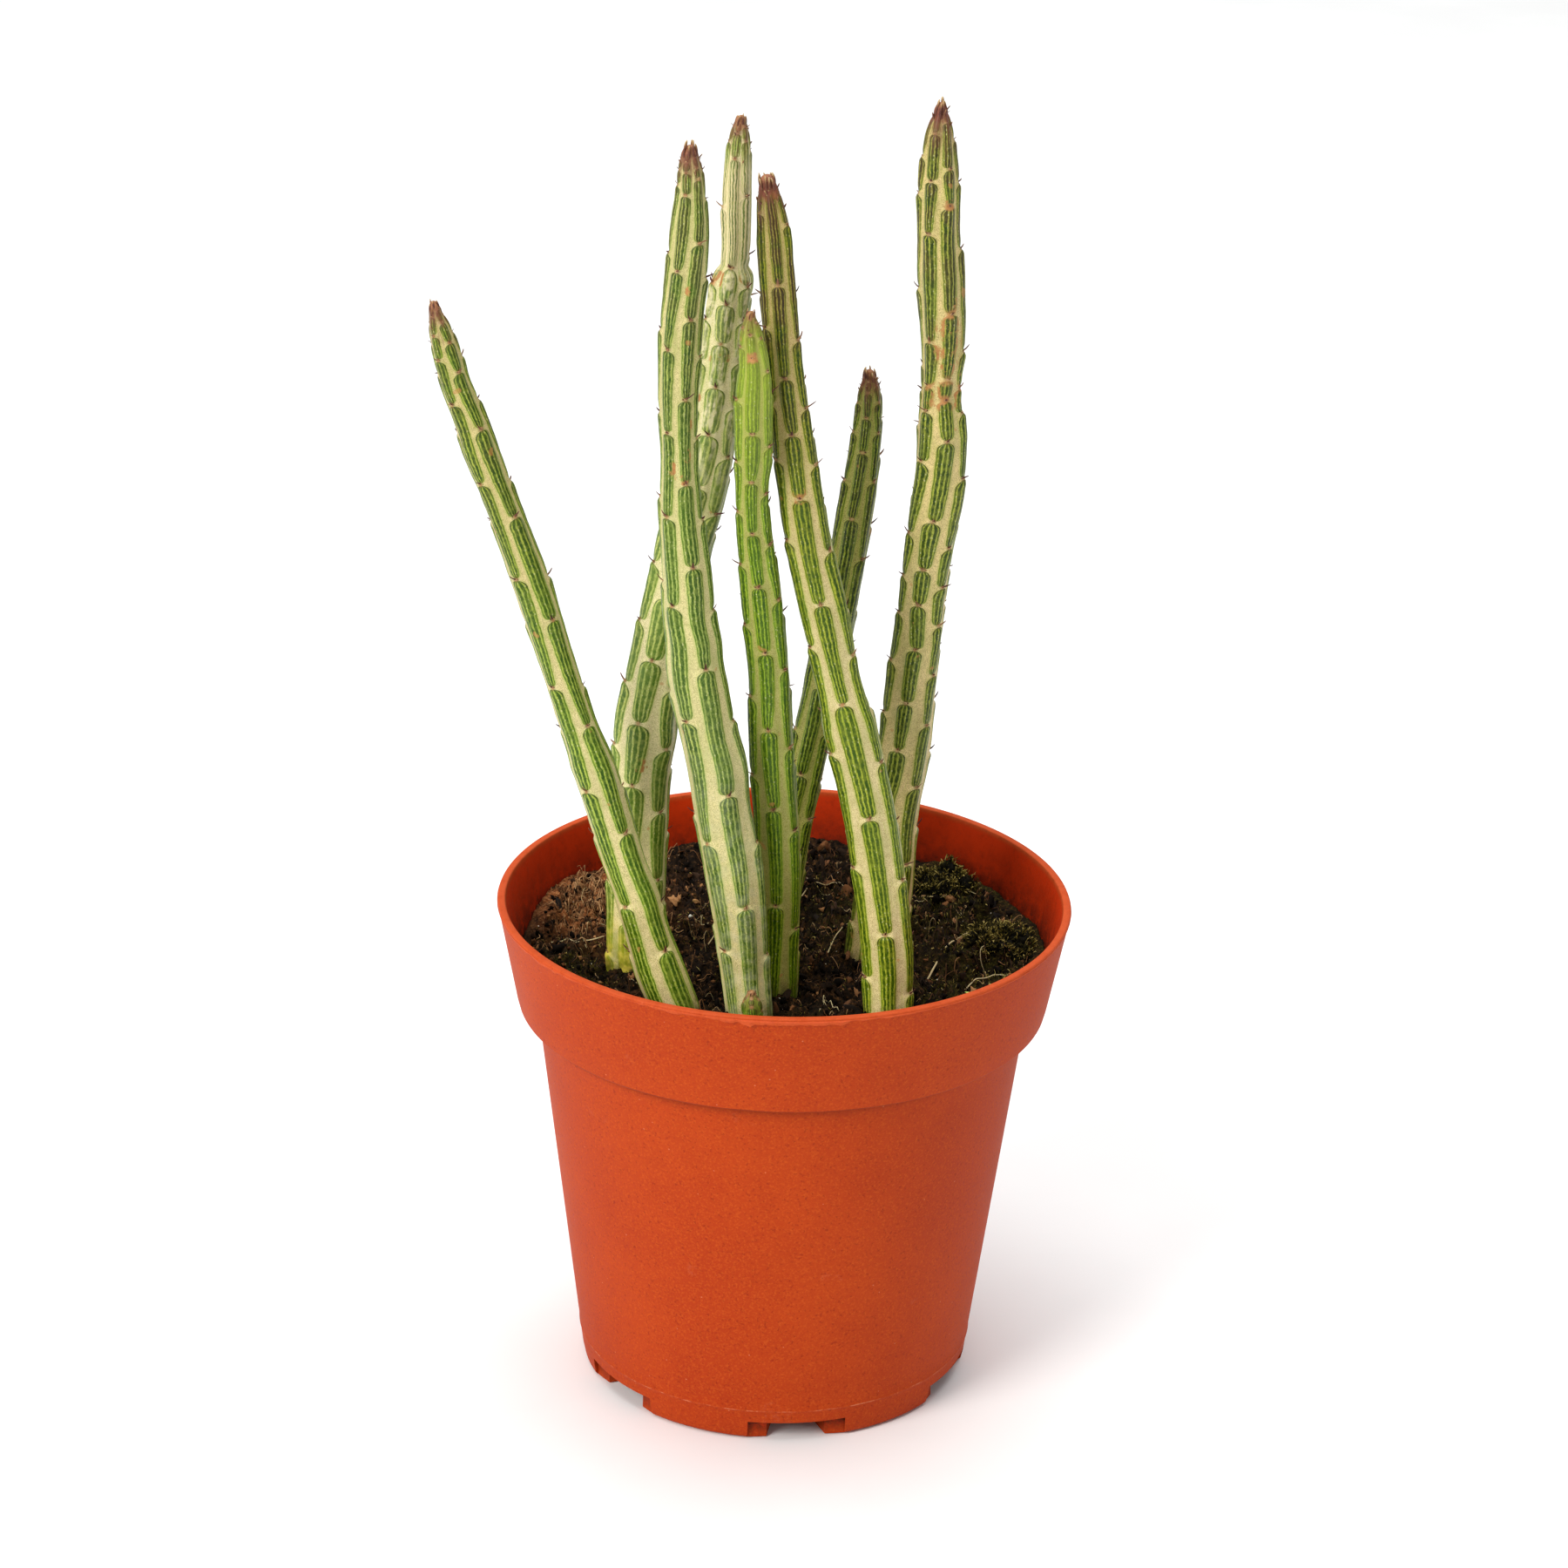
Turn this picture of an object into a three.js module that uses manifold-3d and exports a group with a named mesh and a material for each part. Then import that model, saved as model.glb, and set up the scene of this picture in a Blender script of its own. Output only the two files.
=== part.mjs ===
// Potted pickle plant: a clump of jointed succulent stems in a round nursery pot.
// Millimetres, +Z up. The origin is the centre of the pot's underside, which rests on z = 0.
import * as THREE from 'three';
import { mergeVertices } from 'three/addons/utils/BufferGeometryUtils.js';
import Module from 'manifold-3d';

const wasm = await Module();
wasm.setup();

// ---------------------------------------------------------------- driving dimensions
const GAP = 0.35;                 // clearance between pieces that touch

const POT_HEIGHT = 93.2;          // foot to rim
const POT_FOOT_R = 36.1;          // outer radius at the foot
const POT_BODY_TOP_R = 45.3;      // outer radius of the body just below the collar
const COLLAR_Z = 73.2;            // lower edge of the collar
const COLLAR_LOW_R = 48.65;       // outer radius of the collar at its lower edge
const COLLAR_TOP_R = 52.5;        // outer radius of the rim
const WALL = 1.2;                 // wall thickness
const FLOOR = 1.3;                // floor thickness
const RIM = 1.5;                  // thickness of the rim
const SHELF_Z = COLLAR_Z + 1.4;   // inner step where the body widens into the collar
const POT_SEGMENTS = 64;

const NOTCH_COUNT = 6;            // drainage notches round the foot
const NOTCH_FIRST_DEG = -82.4;    // angle of the first notch, from +X toward +Y
const NOTCH_HEIGHT = 3.8;
const RECESS_W = 18.1;            // wide shallow recess in the outer wall, in front of each notch
const RECESS_R = 34.35;           // distance of its flat back from the axis
const NOTCH_OUTER_W = 10.8;       // width where the notch opens in that flat back
const NOTCH_INNER_W = 5.6;        // width at its inner end
const NOTCH_INNER_R = 25.5;       // radius of its inner end
const DRAIN_R = 2.4;              // drain hole through the roof of each notch
const DRAIN_AT_R = 29.0;

const SOIL_FLOOR_Z = 5.4;         // underside of the root ball
const SOIL_LEVEL = 79.0;          // soil level on the pot's axis
const SOIL_SLOPE = 0.075;         // rise toward +Y
const SOIL_DISH = 1.0;            // rise from the axis to the wall
const SOIL_SEGMENTS = 48;
const SOIL_RINGS = [1, 0.9, 0.78, 0.64, 0.5, 0.36, 0.2, 0];
// low mounds on the soil: x, y, height, radius
const SOIL_MOUNDS = [
  [-37, 20, 3.2, 11], [42, 13, 2.2, 8], [29, 34, 2.0, 8], [8, -34, 0.8, 11], [-24, -26, 0.9, 9], [3, 33, 1.0, 12],
];

const STEM_SIDES = 12;            // every second corner is the crest of one of the six ribs
const RIB_DEPTH = 0.07;           // depth of the grooves between ribs, as a share of the radius

// Each stem, from its buried end to its tip: x, y, z and radius of the section.
const STEMS = {
  stem_left_leaning: [[-12.3, -19.6, 58.0, 2.72], [-16.3, -19.2, 70.0, 4.21], [-19.7, -18.9, 80.2, 4.39], [-21.7, -18.8, 85.3, 4.48], [-25.0, -18.5, 95.4, 3.91], [-26.3, -18.3, 100.4, 3.86], [-28.1, -18.2, 105.4, 3.72], [-34.4, -17.6, 125.1, 3.79], [-36.1, -17.4, 130.0, 3.38], [-39.4, -17.1, 139.7, 3.11], [-45.0, -16.6, 157.3, 3.27], [-51.8, -16.0, 176.1, 2.95], [-54.2, -15.8, 182.3, 3.13], [-56.3, -15.6, 188.5, 2.81], [-58.7, -15.4, 194.6, 2.54], [-59.6, -15.3, 197.7, 2.48], [-61.2, -15.2, 203.8, 1.90], [-62.0, -15.1, 206.8, 1.14], [-62.5, -15.0, 209.1, 0.00]],
  stem_back_left: [[-28.0, -0.4, 58.0, 2.99], [-27.7, -0.1, 70.0, 4.63], [-27.1, 0.4, 97.3, 5.42], [-27.0, 0.6, 107.6, 5.47], [-26.6, 0.7, 117.9, 5.43], [-25.9, 0.9, 124.6, 5.68], [-25.7, 0.9, 128.0, 5.59], [-24.6, 1.0, 134.7, 5.14], [-21.9, 1.3, 148.1, 5.10], [-20.4, 1.5, 154.7, 5.08], [-19.2, 1.6, 161.3, 5.04], [-16.6, 1.7, 171.1, 4.64], [-14.5, 2.0, 184.0, 4.24], [-12.0, 2.4, 207.7, 3.75], [-11.7, 2.5, 209.6, 3.43], [-11.6, 2.5, 210.8, 2.97], [-11.5, 2.5, 211.9, 2.32], [-11.3, 2.5, 213.9, 2.41], [-11.3, 2.7, 221.7, 2.55], [-11.2, 2.9, 230.9, 2.17], [-11.0, 3.0, 235.5, 1.48], [-10.9, 3.0, 237.0, 0.99], [-10.7, 3.0, 238.2, 0.00]],
  stem_front_left: [[-3.2, -20.1, 58.0, 2.57], [-4.8, -19.7, 70.0, 3.98], [-6.7, -19.3, 85.9, 4.29], [-8.2, -18.9, 99.5, 4.95], [-9.2, -18.7, 106.1, 5.22], [-11.6, -18.3, 119.4, 5.10], [-12.5, -18.1, 126.0, 5.22], [-14.2, -18.0, 132.5, 4.88], [-15.6, -17.8, 139.0, 5.05], [-16.8, -17.6, 145.4, 4.90], [-17.0, -17.5, 148.6, 4.79], [-18.0, -17.3, 155.1, 4.43], [-18.1, -17.3, 158.2, 4.40], [-19.7, -16.8, 174.1, 3.56], [-20.1, -16.5, 183.5, 3.05], [-20.4, -16.2, 195.9, 3.38], [-20.1, -15.9, 205.1, 3.56], [-18.9, -15.4, 223.4, 3.18], [-18.8, -15.2, 229.4, 2.37], [-18.9, -15.1, 232.4, 2.05], [-19.1, -15.1, 235.3, 1.46], [-19.0, -15.0, 237.4, 0.00]],
  stem_centre: [[-0.6, -6.9, 58.0, 2.62], [-1.0, -7.6, 70.0, 4.05], [-1.2, -8.0, 77.3, 4.22], [-1.3, -9.3, 102.3, 4.17], [-3.4, -11.0, 133.3, 3.94], [-3.7, -11.3, 140.1, 3.69], [-5.1, -12.1, 153.5, 3.61], [-7.4, -13.3, 176.4, 2.84], [-7.3, -13.6, 182.9, 3.29], [-7.5, -14.2, 192.5, 3.26], [-7.5, -14.5, 198.8, 2.68], [-8.2, -14.8, 205.1, 1.85], [-8.3, -14.9, 207.4, 0.96], [-8.2, -15.0, 208.7, 0.00]],
  stem_front_right: [[21.3, -19.8, 58.0, 2.86], [20.2, -18.7, 70.0, 4.42], [19.3, -17.9, 79.1, 4.61], [18.8, -17.0, 89.1, 4.85], [18.1, -16.4, 95.6, 4.93], [13.5, -14.0, 121.6, 4.77], [11.0, -13.1, 131.2, 4.85], [9.3, -12.5, 137.6, 4.16], [8.5, -12.2, 140.8, 4.06], [5.6, -11.0, 153.4, 4.31], [2.5, -9.9, 165.9, 4.10], [0.3, -8.7, 178.3, 3.84], [-2.4, -7.1, 196.7, 3.29], [-4.6, -5.1, 217.8, 3.25], [-4.9, -4.8, 220.8, 2.94], [-5.8, -4.2, 226.8, 1.86], [-6.0, -4.2, 228.3, 1.43], [-6.2, -4.0, 229.8, 0.00]],
  stem_back_right: [[-4.4, 19.4, 58.0, 2.26], [-2.6, 19.1, 70.0, 3.51], [-1.1, 19.0, 80.1, 3.65], [-0.5, 18.8, 86.5, 3.72], [1.3, 18.6, 100.8, 3.66], [5.7, 18.2, 125.5, 3.57], [10.7, 17.5, 159.8, 3.33], [12.6, 17.2, 176.5, 2.72], [12.9, 17.1, 183.1, 2.26], [12.8, 17.0, 188.0, 0.97], [12.7, 17.0, 189.0, 0.00]],
  stem_right: [[15.3, 6.8, 58.0, 3.39], [16.3, 6.9, 70.0, 5.25], [16.9, 7.0, 77.1, 5.47], [18.6, 7.2, 95.6, 5.28], [19.1, 7.3, 106.0, 5.00], [21.1, 7.5, 119.8, 4.71], [22.0, 7.7, 133.4, 4.69], [23.6, 7.9, 150.2, 4.15], [24.5, 8.0, 160.2, 4.35], [25.3, 8.1, 166.7, 4.75], [25.8, 8.2, 173.3, 4.55], [25.9, 8.3, 179.8, 4.39], [25.7, 8.3, 183.0, 4.08], [25.4, 8.3, 186.2, 3.46], [25.4, 8.4, 189.4, 3.29], [25.5, 8.5, 195.8, 3.66], [24.7, 8.6, 208.4, 4.08], [24.1, 8.7, 214.7, 3.81], [23.7, 8.8, 224.0, 3.45], [23.5, 8.9, 233.3, 2.52], [23.6, 9.0, 237.9, 1.20], [23.6, 9.0, 239.9, 0.00]],
  shoot_new: [[-5.3, -27.0, 66.0, 1.21], [-5.3, -27.0, 78.0, 1.87], [-5.3, -27.0, 83.6, 1.87], [-5.4, -27.0, 84.9, 1.55], [-5.4, -27.0, 85.8, 0.93], [-5.4, -27.0, 86.7, 0.00]],
};
// Turn of each stem's ribs, in degrees: at 0 a rib crest faces -Y.
const RIB_TURN = {
  stem_left_leaning: 30, stem_back_left: 30, stem_front_left: 30, stem_centre: 0,
  stem_front_right: 0, stem_back_right: 30, stem_right: 0, shoot_new: 0,
};
const MOSS_CLEAR = 1.3;           // clearance between a moss cushion and the collar
// Moss cushions lying on the soil: x, y, half width, half depth, height
const MOSS = {
  moss_cushion_right: [40.0, 8.0, 6.0, 7.0, 3.4],
  moss_cushion_back: [30.0, 31.0, 7.0, 5.5, 3.6],
  moss_cushion_front: [8.0, -28.5, 5.5, 4.5, 2.4],
};

// ---------------------------------------------------------------- helpers
// Position-only, merged vertices, no zero-area triangles, faces pointing out.
function closed(geometry) {
  const g = geometry.index ? geometry.clone() : geometry;
  g.deleteAttribute('normal');
  g.deleteAttribute('uv');
  const m = mergeVertices(g, 1e-4);
  const idx = m.index.array;
  const p = m.attributes.position;
  const kept = [];
  const a = new THREE.Vector3(), b = new THREE.Vector3(), c = new THREE.Vector3();
  let volume = 0;
  for (let i = 0; i < idx.length; i += 3) {
    const [i0, i1, i2] = [idx[i], idx[i + 1], idx[i + 2]];
    if (i0 === i1 || i1 === i2 || i2 === i0) continue;
    kept.push(i0, i1, i2);
    a.fromBufferAttribute(p, i0); b.fromBufferAttribute(p, i1); c.fromBufferAttribute(p, i2);
    volume += a.dot(b.clone().cross(c));
  }
  if (volume < 0) for (let i = 0; i < kept.length; i += 3) [kept[i + 1], kept[i + 2]] = [kept[i + 2], kept[i + 1]];
  const out = new THREE.BufferGeometry();
  out.setAttribute('position', p);
  out.setIndex(kept);
  return out;
}
function toSolid(geometry) {
  const g = closed(geometry);
  return new wasm.Manifold(new wasm.Mesh({
    numProp: 3,
    vertProperties: new Float32Array(g.attributes.position.array),
    triVerts: new Uint32Array(g.index.array),
  }));
}
function toGeometry(solid) {
  const m = solid.getMesh();
  const g = new THREE.BufferGeometry();
  g.setAttribute('position', new THREE.BufferAttribute(new Float32Array(m.vertProperties), 3));
  g.setIndex(Array.from(m.triVerts));
  return g;
}
function lerp(a, b, t) { return a + (b - a) * t; }
// A solid of revolution about Z from [r, z] points that start and end on the axis.
function revolve(points, segments) {
  return new THREE.LatheGeometry(points.map(([r, z]) => new THREE.Vector2(r, z)), segments).rotateX(Math.PI / 2);
}

// ---------------------------------------------------------------- pot
const collarR = (z) => lerp(COLLAR_LOW_R, COLLAR_TOP_R, (z - COLLAR_Z) / (POT_HEIGHT - COLLAR_Z));
const bodyR = (z) => lerp(POT_FOOT_R, POT_BODY_TOP_R, z / COLLAR_Z);
const collarInR = (z) => collarR(z) - lerp(WALL, RIM, (z - SHELF_Z) / (POT_HEIGHT - SHELF_Z));
const bodyInR = (z) => bodyR(z) - WALL;

function potSolid() {
  const outer = [
    [0, 0], [POT_FOOT_R - 0.8, 0], [POT_FOOT_R, 0.9], [POT_BODY_TOP_R, COLLAR_Z], [COLLAR_LOW_R - 0.3, COLLAR_Z],
    [COLLAR_LOW_R, COLLAR_Z + 0.4], [COLLAR_TOP_R, POT_HEIGHT - 0.5], [COLLAR_TOP_R - 0.4, POT_HEIGHT],
  ];
  const inner = [
    [COLLAR_TOP_R - RIM + 0.3, POT_HEIGHT], [collarInR(POT_HEIGHT - 0.5), POT_HEIGHT - 0.5],
    [collarInR(SHELF_Z), SHELF_Z], [bodyInR(SHELF_Z), SHELF_Z], [bodyInR(FLOOR), FLOOR], [0, FLOOR],
  ];
  let pot = toSolid(revolve([...outer, ...inner], POT_SEGMENTS));
  const envelope = toSolid(revolve([...outer, [0, POT_HEIGHT]], POT_SEGMENTS));

  // one notch: a trapezium that narrows toward the axis, extruded up, behind a shallow recess with a flat back
  const slab = (innerR, innerHalf, outerR, outerHalf, height) => {
    const s = new THREE.Shape([
      new THREE.Vector2(innerR, -innerHalf), new THREE.Vector2(outerR, -outerHalf),
      new THREE.Vector2(outerR, outerHalf), new THREE.Vector2(innerR, innerHalf),
    ]);
    return new THREE.ExtrudeGeometry(s, { depth: height, bevelEnabled: false });
  };
  const slope = (NOTCH_OUTER_W - NOTCH_INNER_W) / 2 / (RECESS_R - NOTCH_INNER_R);
  const half = (r) => NOTCH_INNER_W / 2 + slope * (r - NOTCH_INNER_R);
  const recessHalf = RECESS_W / 2;
  for (let k = 0; k < NOTCH_COUNT; k++) {
    const degrees = NOTCH_FIRST_DEG + k * 360 / NOTCH_COUNT;
    const pocketBox = toSolid(slab(NOTCH_INNER_R - WALL, half(NOTCH_INNER_R - WALL) + WALL, RECESS_R, half(RECESS_R) + WALL, NOTCH_HEIGHT + WALL));
    const recessBox = toSolid(slab(RECESS_R - WALL, recessHalf + WALL, 44, recessHalf + WALL, NOTCH_HEIGHT + WALL));
    const box = pocketBox.add(recessBox).rotate([0, 0, degrees]).intersect(envelope);
    const pocketCut = toSolid(slab(NOTCH_INNER_R, half(NOTCH_INNER_R), RECESS_R + 1, half(RECESS_R + 1), NOTCH_HEIGHT + 1));
    const recessCut = toSolid(slab(RECESS_R, recessHalf, 44, recessHalf, NOTCH_HEIGHT + 1));
    const cut = pocketCut.add(recessCut).translate([0, 0, -1]).rotate([0, 0, degrees]);
    const drain = toSolid(new THREE.CylinderGeometry(DRAIN_R, DRAIN_R, 8, 16).rotateX(Math.PI / 2)
      .translate(DRAIN_AT_R, 0, 5).rotateZ(THREE.MathUtils.degToRad(degrees)));
    pot = pot.add(box).subtract(cut).subtract(drain);
  }
  return pot;
}

// ---------------------------------------------------------------- soil
function soilTop(x, y) {
  const r = Math.hypot(x, y) / 48;
  let z = SOIL_LEVEL + SOIL_SLOPE * y + SOIL_DISH * r * r;
  for (const [mx, my, h, w] of SOIL_MOUNDS) z += h * Math.exp(-((x - mx) ** 2 + (y - my) ** 2) / (w * w));
  z += 0.35 * Math.sin(x * 0.31 + 1.1) * Math.cos(y * 0.27 - 0.6);
  return z;
}
function soilSolid() {
  // profile from the axis on the underside, up the wall, over the shelf, then in across the top
  const wall = [
    [0, SOIL_FLOOR_Z], [bodyInR(SOIL_FLOOR_Z) - GAP, SOIL_FLOOR_Z],
    [bodyInR(SHELF_Z) - GAP, SHELF_Z + GAP], [collarInR(SHELF_Z) - GAP, SHELF_Z + GAP],
  ];
  const nWall = wall.length;
  const points = [...wall, ...SOIL_RINGS.map((f) => [48 * f, 80])];
  const g = revolve(points, SOIL_SEGMENTS);
  const p = g.attributes.position;
  for (let i = 0; i < p.count; i++) {
    const j = i % points.length;
    if (j < nWall) continue;
    const f = SOIL_RINGS[j - nWall];
    let x = p.getX(i), y = p.getY(i);
    if (f === 0) { p.setXYZ(i, 0, 0, soilTop(0, 0)); continue; }
    const a = Math.atan2(y, x);
    if (f === 1) {
      // the outermost ring keeps its clearance to the sloping collar
      let z = soilTop(48 * Math.cos(a), 48 * Math.sin(a));
      const r = collarInR(z) - GAP;
      p.setXYZ(i, r * Math.cos(a), r * Math.sin(a), z);
    } else p.setZ(i, soilTop(x, y));
  }
  return toSolid(g);
}

// ---------------------------------------------------------------- stems
// A closed loft along a stem's centre line. grow thickens it all round, for cutting its socket.
function stemGeometry(name, grow = 0) {
  const rows = STEMS[name];
  const turn = THREE.MathUtils.degToRad(RIB_TURN[name] - 90);
  const curve = new THREE.CatmullRomCurve3(rows.map(([x, y, z]) => new THREE.Vector3(x, y, z)), false, 'centripetal');
  const n = rows.length - 1;
  const rings = [];                                     // { u, r }
  for (let i = 0; i <= n; i++) {
    rings.push({ u: i / n, r: rows[i][3] });
    if (i < n && rows[i + 1][2] - rows[i][2] > 7) rings.push({ u: (i + 0.5) / n, r: (rows[i][3] + rows[i + 1][3]) / 2 });
  }
  // profile points of the lathe that gives the loft its topology: a flat buried end, the rings, the tip
  const profile = [new THREE.Vector2(0, 0), ...rings.map((q, i) => new THREE.Vector2(q.r, i))];
  const g = new THREE.LatheGeometry(profile, STEM_SIDES);
  const p = g.attributes.position;
  const t = new THREE.Vector3(), c = new THREE.Vector3(), nx = new THREE.Vector3(), ny = new THREE.Vector3();
  for (let i = 0; i < p.count; i++) {
    const seg = Math.floor(i / profile.length), j = i % profile.length;
    const k = Math.max(j - 1, 0);
    const { u, r } = rings[k];
    curve.getPoint(u, c); curve.getTangent(u, t);
    nx.set(1, 0, 0).addScaledVector(t, -t.x).normalize();
    ny.crossVectors(t, nx);
    let radius = j === 0 ? 0 : r * (seg % 2 ? 1 - RIB_DEPTH : 1);
    if (j > 0 && (r > 0 || grow > 0)) radius += grow;
    if (k === 0) c.addScaledVector(t, -grow);
    const a = turn + seg / STEM_SIDES * Math.PI * 2;
    c.addScaledVector(nx, radius * Math.cos(a)).addScaledVector(ny, radius * Math.sin(a));
    p.setXYZ(i, c.x, c.y, c.z);
  }
  // the grown copy ends in a ring at the tip, so its lathe is closed there by hand
  if (grow > 0) return closeTip(g, profile.length);
  return g;
}
// Moves the last ring of a lathe-topology loft onto its own centre.
function closeTip(g, count) {
  const p = g.attributes.position;
  const last = [];
  for (let i = count - 1; i < p.count; i += count) last.push(i);
  const c = new THREE.Vector3(), v = new THREE.Vector3();
  for (const i of last.slice(0, -1)) c.add(v.fromBufferAttribute(p, i));
  c.divideScalar(last.length - 1);
  for (const i of last) p.setXYZ(i, c.x, c.y, c.z);
  return g;
}

// ---------------------------------------------------------------- moss
function mossSolid([x, y, rx, ry, h], soil, blockers) {
  const g = new THREE.SphereGeometry(1, 14, 9);
  const p = g.attributes.position;
  const v = new THREE.Vector3();
  for (let i = 0; i < p.count; i++) {
    v.fromBufferAttribute(p, i);
    const k = 1 + 0.07 * Math.sin(5 * v.x + x) * Math.cos(4 * v.y - y);
    p.setXYZ(i, x + v.x * rx * k, y + v.z * ry * k, soilTop(x, y) + v.y * h * k);
  }
  // the space above the shelf, well clear of the collar
  const mouth = toSolid(revolve([
    [0, SHELF_Z], [collarInR(SHELF_Z) - MOSS_CLEAR, SHELF_Z],
    [collarInR(POT_HEIGHT) - MOSS_CLEAR, POT_HEIGHT], [0, POT_HEIGHT],
  ], POT_SEGMENTS));
  let moss = toSolid(g).intersect(mouth).subtract(soil.translate(0, 0, GAP));
  for (const b of blockers) moss = moss.subtract(b);
  // keep the cushion itself if cutting left crumbs
  const bits = moss.decompose();
  bits.sort((a, b) => b.volume() - a.volume());
  return bits[0];
}

// ---------------------------------------------------------------- assembly
const material = (color, roughness) => new THREE.MeshStandardMaterial({ color, roughness, metalness: 0 });
const MATERIALS = {
  pot: material(0xc9532a, 0.55),
  soil: material(0x3a2a20, 0.95),
  stem: material(0x8fa77c, 0.5),
  stem_pale: material(0xa9b894, 0.5),
  stem_bright: material(0x9cc04a, 0.5),
  moss: material(0x4c5a22, 0.95),
};
const STEM_MATERIAL = { stem_back_left: 'stem_pale', stem_centre: 'stem_bright' };

const group = new THREE.Group();
function place(name, geometry, mat) {
  geometry.computeVertexNormals();
  const mesh = new THREE.Mesh(geometry, mat);
  mesh.name = name;
  group.add(mesh);
}

place('nursery_pot', toGeometry(potSolid()), MATERIALS.pot);

let soil = soilSolid();
const fullSoil = soil;
const blockers = [];
for (const name of Object.keys(STEMS)) {
  const socket = toSolid(stemGeometry(name, GAP + 0.05));
  blockers.push(socket);
  soil = soil.subtract(socket);
}
place('potting_soil', toGeometry(soil), MATERIALS.soil);

for (const name of Object.keys(STEMS)) {
  place(name, closed(stemGeometry(name)), MATERIALS[STEM_MATERIAL[name] ?? 'stem']);
}
for (const [name, spec] of Object.entries(MOSS)) {
  place(name, toGeometry(mossSolid(spec, fullSoil, blockers)), MATERIALS.moss);
}

export default group;
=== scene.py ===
"""Potted pickle plant: fine meshes, procedural materials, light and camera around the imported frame."""
import math

import bmesh
import bpy
import numpy as np
from mathutils import Matrix, Vector


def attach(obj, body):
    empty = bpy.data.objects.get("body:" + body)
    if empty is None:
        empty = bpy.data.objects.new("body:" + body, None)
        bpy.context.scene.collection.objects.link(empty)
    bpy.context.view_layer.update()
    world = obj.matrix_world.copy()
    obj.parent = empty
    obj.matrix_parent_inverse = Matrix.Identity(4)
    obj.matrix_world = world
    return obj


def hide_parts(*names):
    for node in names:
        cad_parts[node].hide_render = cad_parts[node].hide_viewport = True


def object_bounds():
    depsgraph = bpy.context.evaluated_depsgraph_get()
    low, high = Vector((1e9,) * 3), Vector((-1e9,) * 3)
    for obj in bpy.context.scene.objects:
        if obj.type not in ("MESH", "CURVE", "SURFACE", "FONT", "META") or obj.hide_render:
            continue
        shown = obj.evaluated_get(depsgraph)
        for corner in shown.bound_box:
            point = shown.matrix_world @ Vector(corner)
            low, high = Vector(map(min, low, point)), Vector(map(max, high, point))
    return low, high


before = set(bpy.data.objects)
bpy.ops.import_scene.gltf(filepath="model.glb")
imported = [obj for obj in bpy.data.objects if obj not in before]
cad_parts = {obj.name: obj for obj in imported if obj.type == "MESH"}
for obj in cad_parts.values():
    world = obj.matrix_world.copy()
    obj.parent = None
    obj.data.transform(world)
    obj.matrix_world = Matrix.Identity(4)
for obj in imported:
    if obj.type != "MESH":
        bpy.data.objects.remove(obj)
CAD_BOX = [list(map(float, c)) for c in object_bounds()]
MM = 0.001

# ------------------------------------------------------------------ constants repeated from part.mjs (mm)
POT_HEIGHT, POT_FOOT_R, POT_BODY_TOP_R = 93.2, 36.1, 45.3
COLLAR_Z, COLLAR_LOW_R, COLLAR_TOP_R = 73.2, 48.65, 52.5
WALL, FLOOR, RIM = 1.2, 1.3, 1.5
SHELF_Z = COLLAR_Z + 1.4
NOTCH_COUNT, NOTCH_FIRST_DEG, NOTCH_HEIGHT = 6, -82.4, 3.8
RECESS_W, RECESS_R = 18.1, 34.35
NOTCH_OUTER_W, NOTCH_INNER_W, NOTCH_INNER_R = 10.8, 5.6, 25.5
DRAIN_R, DRAIN_AT_R = 2.4, 29.0
SOIL_FLOOR_Z, SOIL_LEVEL, SOIL_SLOPE, SOIL_DISH = 5.4, 79.0, 0.075, 1.0
SOIL_MOUNDS = [(-37, 20, 3.2, 11), (42, 13, 2.2, 8), (29, 34, 2.0, 8), (8, -34, 0.8, 11), (-24, -26, 0.9, 9), (3, 33, 1.0, 12)]
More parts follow.
